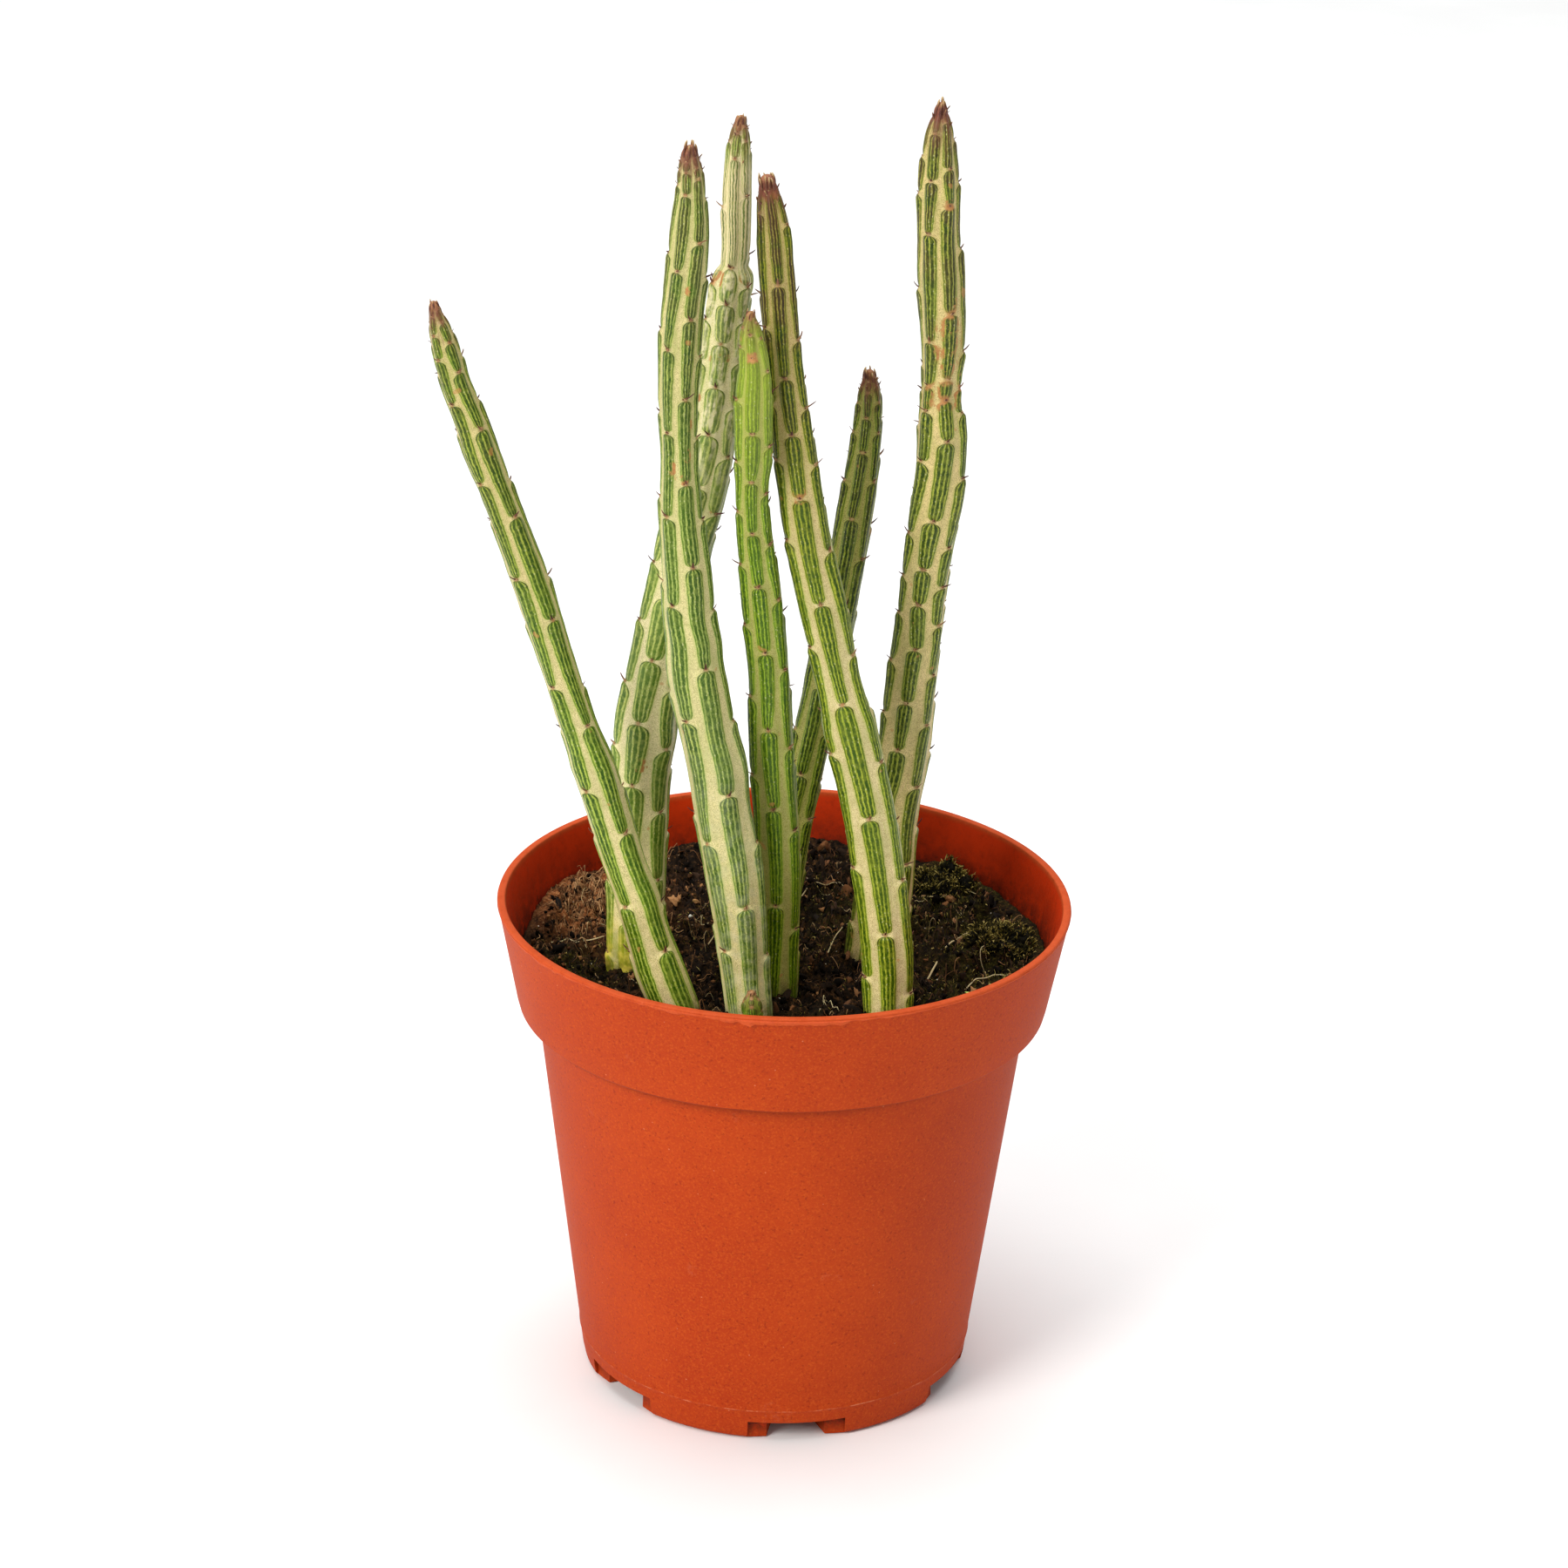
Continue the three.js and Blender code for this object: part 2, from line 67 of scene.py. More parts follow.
STEMS = {
    "stem_left_leaning": [[-12.3, -19.6, 58.0, 2.72], [-16.3, -19.2, 70.0, 4.21], [-19.7, -18.9, 80.2, 4.39], [-21.7, -18.8, 85.3, 4.48], [-25.0, -18.5, 95.4, 3.91], [-26.3, -18.3, 100.4, 3.86], [-28.1, -18.2, 105.4, 3.72], [-34.4, -17.6, 125.1, 3.79], [-36.1, -17.4, 130.0, 3.38], [-39.4, -17.1, 139.7, 3.11], [-45.0, -16.6, 157.3, 3.27], [-51.8, -16.0, 176.1, 2.95], [-54.2, -15.8, 182.3, 3.13], [-56.3, -15.6, 188.5, 2.81], [-58.7, -15.4, 194.6, 2.54], [-59.6, -15.3, 197.7, 2.48], [-61.2, -15.2, 203.8, 1.90], [-62.0, -15.1, 206.8, 1.14], [-62.5, -15.0, 209.1, 0.00]],
    "stem_back_left": [[-28.0, -0.4, 58.0, 2.99], [-27.7, -0.1, 70.0, 4.63], [-27.1, 0.4, 97.3, 5.42], [-27.0, 0.6, 107.6, 5.47], [-26.6, 0.7, 117.9, 5.43], [-25.9, 0.9, 124.6, 5.68], [-25.7, 0.9, 128.0, 5.59], [-24.6, 1.0, 134.7, 5.14], [-21.9, 1.3, 148.1, 5.10], [-20.4, 1.5, 154.7, 5.08], [-19.2, 1.6, 161.3, 5.04], [-16.6, 1.7, 171.1, 4.64], [-14.5, 2.0, 184.0, 4.24], [-12.0, 2.4, 207.7, 3.75], [-11.7, 2.5, 209.6, 3.43], [-11.6, 2.5, 210.8, 2.97], [-11.5, 2.5, 211.9, 2.32], [-11.3, 2.5, 213.9, 2.41], [-11.3, 2.7, 221.7, 2.55], [-11.2, 2.9, 230.9, 2.17], [-11.0, 3.0, 235.5, 1.48], [-10.9, 3.0, 237.0, 0.99], [-10.7, 3.0, 238.2, 0.00]],
    "stem_front_left": [[-3.2, -20.1, 58.0, 2.57], [-4.8, -19.7, 70.0, 3.98], [-6.7, -19.3, 85.9, 4.29], [-8.2, -18.9, 99.5, 4.95], [-9.2, -18.7, 106.1, 5.22], [-11.6, -18.3, 119.4, 5.10], [-12.5, -18.1, 126.0, 5.22], [-14.2, -18.0, 132.5, 4.88], [-15.6, -17.8, 139.0, 5.05], [-16.8, -17.6, 145.4, 4.90], [-17.0, -17.5, 148.6, 4.79], [-18.0, -17.3, 155.1, 4.43], [-18.1, -17.3, 158.2, 4.40], [-19.7, -16.8, 174.1, 3.56], [-20.1, -16.5, 183.5, 3.05], [-20.4, -16.2, 195.9, 3.38], [-20.1, -15.9, 205.1, 3.56], [-18.9, -15.4, 223.4, 3.18], [-18.8, -15.2, 229.4, 2.37], [-18.9, -15.1, 232.4, 2.05], [-19.1, -15.1, 235.3, 1.46], [-19.0, -15.0, 237.4, 0.00]],
    "stem_centre": [[-0.6, -6.9, 58.0, 2.62], [-1.0, -7.6, 70.0, 4.05], [-1.2, -8.0, 77.3, 4.22], [-1.3, -9.3, 102.3, 4.17], [-3.4, -11.0, 133.3, 3.94], [-3.7, -11.3, 140.1, 3.69], [-5.1, -12.1, 153.5, 3.61], [-7.4, -13.3, 176.4, 2.84], [-7.3, -13.6, 182.9, 3.29], [-7.5, -14.2, 192.5, 3.26], [-7.5, -14.5, 198.8, 2.68], [-8.2, -14.8, 205.1, 1.85], [-8.3, -14.9, 207.4, 0.96], [-8.2, -15.0, 208.7, 0.00]],
    "stem_front_right": [[21.3, -19.8, 58.0, 2.86], [20.2, -18.7, 70.0, 4.42], [19.3, -17.9, 79.1, 4.61], [18.8, -17.0, 89.1, 4.85], [18.1, -16.4, 95.6, 4.93], [13.5, -14.0, 121.6, 4.77], [11.0, -13.1, 131.2, 4.85], [9.3, -12.5, 137.6, 4.16], [8.5, -12.2, 140.8, 4.06], [5.6, -11.0, 153.4, 4.31], [2.5, -9.9, 165.9, 4.10], [0.3, -8.7, 178.3, 3.84], [-2.4, -7.1, 196.7, 3.29], [-4.6, -5.1, 217.8, 3.25], [-4.9, -4.8, 220.8, 2.94], [-5.8, -4.2, 226.8, 1.86], [-6.0, -4.2, 228.3, 1.43], [-6.2, -4.0, 229.8, 0.00]],
    "stem_back_right": [[-4.4, 19.4, 58.0, 2.26], [-2.6, 19.1, 70.0, 3.51], [-1.1, 19.0, 80.1, 3.65], [-0.5, 18.8, 86.5, 3.72], [1.3, 18.6, 100.8, 3.66], [5.7, 18.2, 125.5, 3.57], [10.7, 17.5, 159.8, 3.33], [12.6, 17.2, 176.5, 2.72], [12.9, 17.1, 183.1, 2.26], [12.8, 17.0, 188.0, 0.97], [12.7, 17.0, 189.0, 0.00]],
    "stem_right": [[15.3, 6.8, 58.0, 3.39], [16.3, 6.9, 70.0, 5.25], [16.9, 7.0, 77.1, 5.47], [18.6, 7.2, 95.6, 5.28], [19.1, 7.3, 106.0, 5.00], [21.1, 7.5, 119.8, 4.71], [22.0, 7.7, 133.4, 4.69], [23.6, 7.9, 150.2, 4.15], [24.5, 8.0, 160.2, 4.35], [25.3, 8.1, 166.7, 4.75], [25.8, 8.2, 173.3, 4.55], [25.9, 8.3, 179.8, 4.39], [25.7, 8.3, 183.0, 4.08], [25.4, 8.3, 186.2, 3.46], [25.4, 8.4, 189.4, 3.29], [25.5, 8.5, 195.8, 3.66], [24.7, 8.6, 208.4, 4.08], [24.1, 8.7, 214.7, 3.81], [23.7, 8.8, 224.0, 3.45], [23.5, 8.9, 233.3, 2.52], [23.6, 9.0, 237.9, 1.20], [23.6, 9.0, 239.9, 0.00]],
    "shoot_new": [[-5.3, -27.0, 66.0, 1.21], [-5.3, -27.0, 78.0, 1.87], [-5.3, -27.0, 83.6, 1.87], [-5.4, -27.0, 84.9, 1.55], [-5.4, -27.0, 85.8, 0.93], [-5.4, -27.0, 86.7, 0.00]],
}
MOSS = {
    "moss_cushion_right": (40.0, 8.0, 6.0, 7.0, 3.4),
    "moss_cushion_back": (30.0, 31.0, 7.0, 5.5, 3.6),
    "moss_cushion_front": (8.0, -28.5, 5.5, 4.5, 2.4),
}

# ------------------------------------------------------------------ how each stem grows
# cols: columns of leaf scars round the stem; turn: (z, degrees) the first column's turn from -Y;
# nodes: heights of the first column's leaf scars, tip first; phase: how far each column's scars are shifted, in internodes.
GROWTH = {
    "stem_left_leaning": dict(cols=5, turn=[(58, -33), (210, -36)], nodes=[206.8, 203.6, 199.5, 191.9, 178.0, 161.0, 141.1, 122.2, 100.4, 78, 57],
                              phase=[0, -.43, -.10, -.75, -.43]),
    "stem_back_left": dict(cols=6, turn=[(58, -10), (128, -14), (206, -6), (213, -15), (239, -15)],
                           nodes=[237.2, 235.4, 231.0, 211.8, 205.6, 198.6, 190.8, 182.1, 172.5, 162.1, 151.5, 139.9, 128.2, 116.1, 103.0, 89.1, 74, 58],
                           phase=[0, -.42, -.85, -.2, -.6, -.5]),
    "stem_front_left": dict(cols=6, turn=[(58, 17), (122, 19), (145, 26), (164, 19), (208, 27), (221, 36), (238, 42)],
                            nodes=[236.7, 235.5, 233.8, 231.9, 221.2, 208.0, 193.8, 178.7, 163.9, 145.3, 122.1, 100.7, 80, 60],
                            phase=[0, -.5, -.1, -.62, -.2, -.4]),
    "stem_centre": dict(cols=6, turn=[(58, -6), (210, -2)], nodes=[207.6, 205.0, 201.0, 187.6, 178.5, 169.0, 159.2, 146.7, 131.9, 116.5, 97.3, 78, 58],
                        phase=[0, -.28, -.6, -.05, -.35, -.62]),
    "stem_front_right": dict(cols=6, turn=[(58, 0), (160, -1), (230, 4)], nodes=[229.0, 227.4, 211.2, 195.1, 185.3, 174.1, 155.4, 137.3, 116.6, 95.1, 75, 56],
                             phase=[0, -.58, -.15, -.7, -.12, -.42]),
    "stem_back_right": dict(cols=6, turn=[(58, -12), (190, -8)], nodes=[188.2, 187.1, 185.2, 180.6, 174.2, 161.6, 145.7, 128.6, 111.2, 93.4, 76, 58],
                            phase=[0, -.5, -.15, -.65, -.2, -.55]),
    "stem_right": dict(cols=6, turn=[(58, -18), (121, -18), (130, -10), (141, -4), (149, -12), (156, -11), (165, -6), (180, 10), (203, 22), (229, 36), (240, 38)],
                       nodes=[239.2, 236.7, 228.7, 222.2, 203.0, 191.0, 187.2, 179.9, 165.0, 155.9, 149.1, 140.8, 130.5, 121.2, 106.4, 90.9, 74, 57],
                       phase=[0, -.5, -.1, -.6, -.78, -.33]),
    "shoot_new": dict(cols=5, turn=[(58, 0), (87, 0)], nodes=[86.4, 85.6, 84.2, 80.5, 76, 70], phase=[0, -.4, -.8, -.2, -.6]),
}


def lin(r, g, b, k=1.0):
    """Linear colour of an 8-bit screen colour."""
    out = []
    for c in (r, g, b):
        c /= 255.0
        out.append(min(1.0, k * (c / 12.92 if c <= 0.04045 else ((c + 0.055) / 1.055) ** 2.4)))
    return (*out, 1.0)


# ------------------------------------------------------------------ noise on arrays
def _hash(ix, iy, iz, seed):
    h = (ix.astype(np.int64) * 374761393 + iy.astype(np.int64) * 668265263 + iz.astype(np.int64) * 1442695041 + seed * 974634777) & 0xFFFFFFFF
    h = ((h ^ (h >> 13)) * 1274126177) & 0xFFFFFFFF
    h = ((h ^ (h >> 16)) * 2246822519) & 0xFFFFFFFF
    return ((h ^ (h >> 15)) & 0xFFFFFF) / float(0xFFFFFF) * 2 - 1


def vnoise(x, y, z, seed=0):
    x, y, z = np.broadcast_arrays(np.asarray(x, float), np.asarray(y, float), np.asarray(z, float))
    ix, iy, iz = np.floor(x), np.floor(y), np.floor(z)
    fx, fy, fz = x - ix, y - iy, z - iz
    fx, fy, fz = (f * f * f * (f * (f * 6 - 15) + 10) for f in (fx, fy, fz))
    out = 0
    for dx in (0, 1):
        for dy in (0, 1):
            for dz in (0, 1):
                w = (fx if dx else 1 - fx) * (fy if dy else 1 - fy) * (fz if dz else 1 - fz)
                out = out + w * _hash(ix + dx, iy + dy, iz + dz, seed)
    return out


def fbm(x, y, z, octaves=4, gain=0.5, seed=0):
    a, s, t = 1.0, 1.0, 0
    for o in range(octaves):
        t = t + a * vnoise(x * s + 17.3 * o, y * s - 9.1 * o, z * s + 5.7 * o, seed + o)
        a *= gain
        s *= 2.03
    return t


# ------------------------------------------------------------------ mesh helpers
def new_object(name, verts, faces, mat, body="root", smooth=True, sharp=None):
    """verts in mm."""
    me = bpy.data.meshes.new(name)
    v = np.asarray(verts, dtype=np.float64) * MM
    me.from_pydata(v.tolist(), [], faces if isinstance(faces, list) else faces.tolist())
    me.update()
    me.validate()
    ob = bpy.data.objects.new(name, me)
    bpy.context.scene.collection.objects.link(ob)
    me.materials.append(mat)
    if smooth:
        me.polygons.foreach_set("use_smooth", np.ones(len(me.polygons), dtype=bool))
    if sharp:
        me.set_sharp_from_angle(angle=math.radians(sharp))
    if body:
        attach(ob, body)
    return ob


def add_float(me, name, values):
    a = me.attributes.new(name, "FLOAT", "POINT")
    a.data.foreach_set("value", np.asarray(values, dtype=np.float32))


class Batch:
    """Many small closed shapes that make up one piece, with one tone value a point."""

    def __init__(self):
        self.v, self.f, self.t, self.n = [], [], [], 0

    def add(self, verts, faces, tone):
        self.v.append(verts.reshape(-1, 3))
        self.f.extend((faces + self.n).tolist())
        self.t.append(np.broadcast_to(tone, (verts.reshape(-1, 3).shape[0],)) if np.ndim(tone) < 1 else np.asarray(tone).reshape(-1))
        self.n += verts.reshape(-1, 3).shape[0]

    def tubes(self, P, R, sides, tone, flat=None):
        """P: (m, n, 3) centre points, R: (m, n) radii, tone: (m,). flat: (m,) thickness against width."""
        P, R = np.asarray(P, float), np.asarray(R, float)
        m, n, _ = P.shape
        T = np.gradient(P, axis=1)
        T /= np.linalg.norm(T, axis=2, keepdims=True) + 1e-9
        ref = np.where(np.abs(T[:, :1, 2:3]) < 0.8, np.array([[[0, 0, 1.0]]]), np.array([[[1.0, 0, 0]]]))
        N = np.cross(T, ref)
        N /= np.linalg.norm(N, axis=2, keepdims=True) + 1e-9
        B = np.cross(T, N)
        a = np.arange(sides) / sides * 2 * np.pi
        fl = np.ones(m) if flat is None else np.asarray(flat)
        ring = (N[:, :, None] * np.cos(a)[None, None, :, None] + B[:, :, None] * (np.sin(a)[None, None, :, None] * fl[:, None, None, None])) * R[:, :, None, None]
        V = P[:, :, None] + ring                                                # m, n, sides, 3
        ends = np.stack([P[:, 0] - T[:, 0] * R[:, :1] * 0.6, P[:, -1] + T[:, -1] * R[:, -1:] * 0.6], 1)
        per = n * sides + 2
        verts = np.concatenate([V.reshape(m, n * sides, 3), ends], 1)
        tone = np.asarray(tone, float)
        if tone.ndim == 1:
            tone = np.repeat(tone[:, None], n, 1)
        tone = np.concatenate([np.repeat(tone, sides, 1), tone[:, :1], tone[:, -1:]], 1)
        f = []
        for j in range(n - 1):
            for s in range(sides):
                s2 = (s + 1) % sides
                f.append([j * sides + s, j * sides + s2, (j + 1) * sides + s2, (j + 1) * sides + s])
        quads = np.array(f)
        caps = np.array([[n * sides, (s + 1) % sides, s] for s in range(sides)] + [[n * sides + 1, (n - 1) * sides + s, (n - 1) * sides + (s + 1) % sides] for s in range(sides)])
        off = (np.arange(m) * per)[:, None, None]
        base = self.n
        self.v.append(verts.reshape(-1, 3))
        self.f.extend((quads[None] + off + base).reshape(-1, 4).tolist())
        self.f.extend((caps[None] + off + base).reshape(-1, 3).tolist())
        self.t.append(tone.reshape(-1))
        self.n += m * per

    def lumps(self, C, S, rng, tone, rough=0.25, level=2, R=None):
        """Irregular grains: C (m, 3) centres, S (m, 3) half sizes."""
        bm = bmesh.new()
        bmesh.ops.create_icosphere(bm, subdivisions=level, radius=1.0)
        bm.verts.ensure_lookup_table()
        bv = np.array([v.co[:] for v in bm.verts])
        bf = np.array([[v.index for v in f.verts] for f in bm.faces])
        bm.free()
        m = len(C)
        k = 1 + rough * rng.uniform(-1, 1, (m, len(bv), 1))
        V = bv[None] * k * np.asarray(S)[:, None, :]
        if R is None:
            q = rng.normal(size=(m, 4))
            q /= np.linalg.norm(q, axis=1, keepdims=True)
            w, x, y, z = q.T
            R = np.stack([np.stack([1 - 2 * (y * y + z * z), 2 * (x * y - z * w), 2 * (x * z + y * w)], -1),
                          np.stack([2 * (x * y + z * w), 1 - 2 * (x * x + z * z), 2 * (y * z - x * w)], -1),
                          np.stack([2 * (x * z - y * w), 2 * (y * z + x * w), 1 - 2 * (x * x + y * y)], -1)], 1)
        V = np.einsum("mij,mvj->mvi", R, V) + np.asarray(C)[:, None, :]
        off = (np.arange(m) * len(bv))[:, None, None]
        self.f.extend((bf[None] + off + self.n).reshape(-1, 3).tolist())
        self.v.append(V.reshape(-1, 3))
        self.t.append(np.repeat(np.asarray(tone, float), len(bv)))
        self.n += m * len(bv)

    def build(self, name, mat, **kw):
        ob = new_object(name, np.concatenate(self.v), self.f, mat, **kw)
        add_float(ob.data, "tone", np.concatenate(self.t))
        return ob


# ------------------------------------------------------------------ node helpers
class G:
    """A material's node tree, built from small expressions."""

    def __init__(self, name):
        self.mat = bpy.data.materials.new(name)
        self.mat.use_nodes = True
        self.nt = self.mat.node_tree
        self.nt.nodes.clear()
        self.out = self.nt.nodes.new("ShaderNodeOutputMaterial")
        self.bsdf = self.nt.nodes.new("ShaderNodeBsdfPrincipled")
        self.nt.links.new(self.bsdf.outputs[0], self.out.inputs[0])
        self._obj = None

    def put(self, sock, v):
        if isinstance(v, bpy.types.NodeSocket):
            self.nt.links.new(v, sock)
        elif v is not None:
            sock.default_value = v

    def node(self, kind, **props):
        n = self.nt.nodes.new(kind)
        for k, v in props.items():
            setattr(n, k, v)
        return n

    def m(self, op, a, b=None, c=None, clamp=False):
        n = self.node("ShaderNodeMath", operation=op, use_clamp=clamp)
        for s, v in zip(n.inputs, (a, b, c)):
            self.put(s, v)
        return n.outputs[0]

    def add(self, a, b): return self.m("ADD", a, b)
    def sub(self, a, b): return self.m("SUBTRACT", a, b)
    def mul(self, a, b): return self.m("MULTIPLY", a, b)
    def div(self, a, b): return self.m("DIVIDE", a, b)
    def mn(self, a, b): return self.m("MINIMUM", a, b)
    def mx(self, a, b): return self.m("MAXIMUM", a, b)

    def step(self, x, a, b, lo=0.0, hi=1.0, smooth=True):
        """Goes from lo to hi as x goes from a to b."""
        n = self.node("ShaderNodeMapRange", interpolation_type="SMOOTHSTEP" if smooth else "LINEAR", clamp=True)
        for s, v in zip(n.inputs, (x, a, b, lo, hi)):
            self.put(s, v)
        return n.outputs[0]

    def mix(self, f, a, b, blend="MIX"):
        n = self.node("ShaderNodeMix", data_type="RGBA", blend_type=blend, clamp_factor=True)
        self.put(n.inputs[0], f)
        self.put(n.inputs[6], a)
        self.put(n.inputs[7], b)
        return n.outputs[2]

    def obj(self):
        if self._obj is None:
            self._obj = self.node("ShaderNodeTexCoord").outputs["Object"]
        return self._obj

    def attr(self, name):
        return self.node("ShaderNodeAttribute", attribute_name=name, attribute_type="GEOMETRY").outputs["Fac"]

    def scaled(self, vec, sx, sy, sz):
        n = self.node("ShaderNodeVectorMath", operation="MULTIPLY")
        self.put(n.inputs[0], vec)
        n.inputs[1].default_value = (sx, sy, sz)
        return n.outputs[0]

    def noise(self, size_mm, detail=2.0, rough=0.5, vec=None, distortion=0.0, squash=None):
        """Noise with features of about size_mm, value 0 to 1."""
        v = vec if vec is not None else self.obj()
        k = 1.0 / (size_mm * MM) if vec is None else 1.0 / size_mm
        if squash:
            v = self.scaled(v, *squash)
        n = self.node("ShaderNodeTexNoise")
        self.put(n.inputs["Vector"], v)
        n.inputs["Scale"].default_value = k
        n.inputs["Detail"].default_value = detail
        n.inputs["Roughness"].default_value = rough
        n.inputs["Distortion"].default_value = distortion
        return n.outputs[0]

    def voronoi(self, size_mm, vec=None, feature="F1", rand=1.0):
        v = vec if vec is not None else self.obj()
        k = 1.0 / (size_mm * MM) if vec is None else 1.0 / size_mm
        n = self.node("ShaderNodeTexVoronoi", feature=feature)
        self.put(n.inputs["Vector"], v)
        n.inputs["Scale"].default_value = k
        n.inputs["Randomness"].default_value = rand
        return n.outputs["Distance"]

    def combine(self, x, y, z):
        n = self.node("ShaderNodeCombineXYZ")
        for s, v in zip(n.inputs, (x, y, z)):
            self.put(s, v)
        return n.outputs[0]

    def ramp(self, fac, stops):
        n = self.node("ShaderNodeValToRGB")
        cr = n.color_ramp
        while len(cr.elements) > 1:
            cr.elements.remove(cr.elements[-1])
        cr.elements[0].position, cr.elements[0].color = stops[0]
        for p, c in stops[1:]:
            e = cr.elements.new(p)
            e.color = c
        self.put(n.inputs[0], fac)
        return n.outputs[0]

    def bump(self, height, strength=0.3, distance_mm=0.1, normal=None):
        n = self.node("ShaderNodeBump")
        n.inputs["Strength"].default_value = strength
        n.inputs["Distance"].default_value = distance_mm * MM
        self.put(n.inputs["Height"], height)
        if normal is not None:
            self.put(n.inputs["Normal"], normal)
        return n.outputs[0]

    def finish(self, color, rough, normal=None, sss=0.0, sss_mm=1.0, sss_rgb=(1.0, 0.6, 0.3), coat=0.0, coat_rough=0.3, spec=0.5, sheen=0.0):
        b = self.bsdf.inputs
        self.put(b["Base Color"], color)
        self.put(b["Roughness"], rough)
        if normal is not None:
            self.put(b["Normal"], normal)
        b["Subsurface Weight"].default_value = sss
        b["Subsurface Scale"].default_value = sss_mm * MM
        b["Subsurface Radius"].default_value = sss_rgb
        b["Coat Weight"].default_value = coat
        b["Coat Roughness"].default_value = coat_rough
        b["Specular IOR Level"].default_value = spec
        b["Sheen Weight"].default_value = sheen
        return self.mat


# ------------------------------------------------------------------ materials
def pot_material():
    g = G("pot_plastic_orange")
    inside = g.attr("inside")
    fine = g.noise(0.42, 3, 0.6)
    mid = g.noise(7, 3, 0.55)
    broad = g.noise(34, 2, 0.5)
    base = g.mix(g.step(broad, 0.3, 0.7), lin(170, 54, 7), lin(178, 60, 9))
    base = g.mix(g.step(mid, 0.35, 0.75, 0, 0.30), base, lin(160, 46, 5))
    base = g.mix(g.step(fine, 0.44, 0.76, 0, 0.50), base, lin(206, 92, 28))
    base = g.mix(g.step(g.noise(0.55, 2, 0.5), 0.44, 0.24, 0, 0.62), base, lin(128, 34, 4))
    # pale scuffs: faint fine scratches and specks
    scratch = g.noise(1.3, 4, 0.7, squash=(1.0, 1.0, 5.0), distortion=0.6)
    base = g.mix(g.step(scratch, 0.68, 0.80, 0, 0.22), base, lin(200, 104, 66))
    speck = g.voronoi(3.6)
    base = g.mix(g.step(speck, 0.025, 0.05, 0.55, 0), base, lin(208, 128, 92))
    smear = g.mul(g.step(g.noise(11, 3, 0.6), 0.66, 0.74, 0, 1), g.step(g.noise(0.9, 3, 0.7), 0.45, 0.65, 0, 0.22))
    base = g.mix(smear, base, lin(196, 112, 82))
    # the scuffed line above the foot
    z = g.node("ShaderNodeSeparateXYZ")
    g.put(z.inputs[0], g.obj())
    zz = g.add(z.outputs[2], g.mul(g.sub(g.noise(7, 2), 0.5), 0.0004))
    line = g.mn(g.step(zz, 0.00618, 0.00628), g.step(zz, 0.00640, 0.00652, 1, 0))
    line = g.mul(line, g.step(g.noise(2.6, 3, 0.7), 0.46, 0.66, 0.05, 0.75))
    base = g.mix(line, base, lin(206, 118, 80))
    # painted shade: the crease under the collar is darkened in the colour, standing in for its shadow
    crease = g.mul(g.step(zz, 0.0700, 0.0729), g.step(zz, 0.0736, 0.0733))
    base = g.mix(g.mul(crease, 0.62), base, lin(104, 30, 4))
    # pale rim edge, broken by noise: partly wear, partly a painted highlight along the rounded edge
    edge = g.mul(g.attr("rim"), g.step(g.noise(2.5, 3, 0.6), 0.25, 0.6, 0.25, 0.6))
    base = g.mix(edge, base, lin(202, 86, 44))
    # inside: painted shade and reddened light, the same plastic given its own deeper, more saturated colour; darker
    # towards the soil, and peat dust low on the wall
    dusty = g.mix(g.step(g.noise(1.6, 4, 0.7), 0.46, 0.74, 0.0, 0.30), lin(200, 50, 2), lin(120, 34, 4))
    low = g.mul(g.step(z.outputs[2], 0.0935, 0.081, 0.0, 0.80), g.step(g.noise(3.0, 4, 0.65), 0.3, 0.6, 0.45, 1.0))
    dusty = g.mix(low, dusty, lin(86, 22, 5))
    dusty = g.mix(g.mul(g.step(z.outputs[2], 0.089, 0.080), g.step(g.noise(0.8, 4, 0.7), 0.52, 0.66, 0.0, 0.7)), dusty, lin(48, 24, 10))
    dusty = g.mix(g.mul(g.step(z.outputs[2], 0.086, 0.0795), g.step(g.noise(1.1, 4, 0.7), 0.40, 0.60)), dusty, lin(26, 14, 6))
    base = g.mix(inside, base, dusty)
    rough = g.step(fine, 0.25, 0.75, 0.56, 0.70)
    h = g.add(g.mul(g.noise(0.24, 2, 0.6), 0.7), g.mul(g.noise(1.6, 3, 0.5), 0.6))
    nrm = g.bump(h, 0.40, 0.09)
    return g.finish(base, rough, nrm, sss=0.0, spec=0.13)


def soil_material():
    g = G("peat_soil")
    a = g.noise(0.8, 5, 0.72)
    b = g.noise(4.0, 3, 0.6)
    c = g.voronoi(0.9)
    # the peat's dark-to-tan tones, on the same noise as the bump below: partly its own tones, partly painted shade in
    # the hollows (near black) and painted highlights on the tops (tan)
    col = g.ramp(a, [(0.25, lin(8, 5, 3)), (0.42, lin(22, 14, 8)), (0.54, lin(52, 34, 17)), (0.66, lin(104, 72, 38)), (0.8, lin(158, 118, 70))])
    col = g.mix(g.step(b, 0.40, 0.60, 0.0, 0.75), col, lin(14, 9, 5))
    col = g.mix(g.mul(g.mul(g.attr("mound"), 0.95), g.step(g.noise(2.4, 3, 0.65), 0.36, 0.56, 0.15, 1.0)), col, g.ramp(g.noise(0.6, 4, 0.72), [(0.3, lin(88, 44, 20)), (0.5, lin(162, 98, 54)), (0.7, lin(216, 156, 104))]))
    moss = g.ramp(g.noise(0.5, 4, 0.7), [(0.3, lin(14, 12, 4)), (0.5, lin(40, 36, 10)), (0.64, lin(84, 74, 26)), (0.8, lin(140, 124, 60))])
    col = g.mix(g.mul(g.attr("green"), g.step(g.noise(1.8, 4, 0.65), 0.38, 0.60)), col, moss)
    h = g.add(a, g.mul(c, 0.5))
    nrm = g.bump(h, 0.9, 0.5)
    return g.finish(col, 0.97, nrm, spec=0.12)


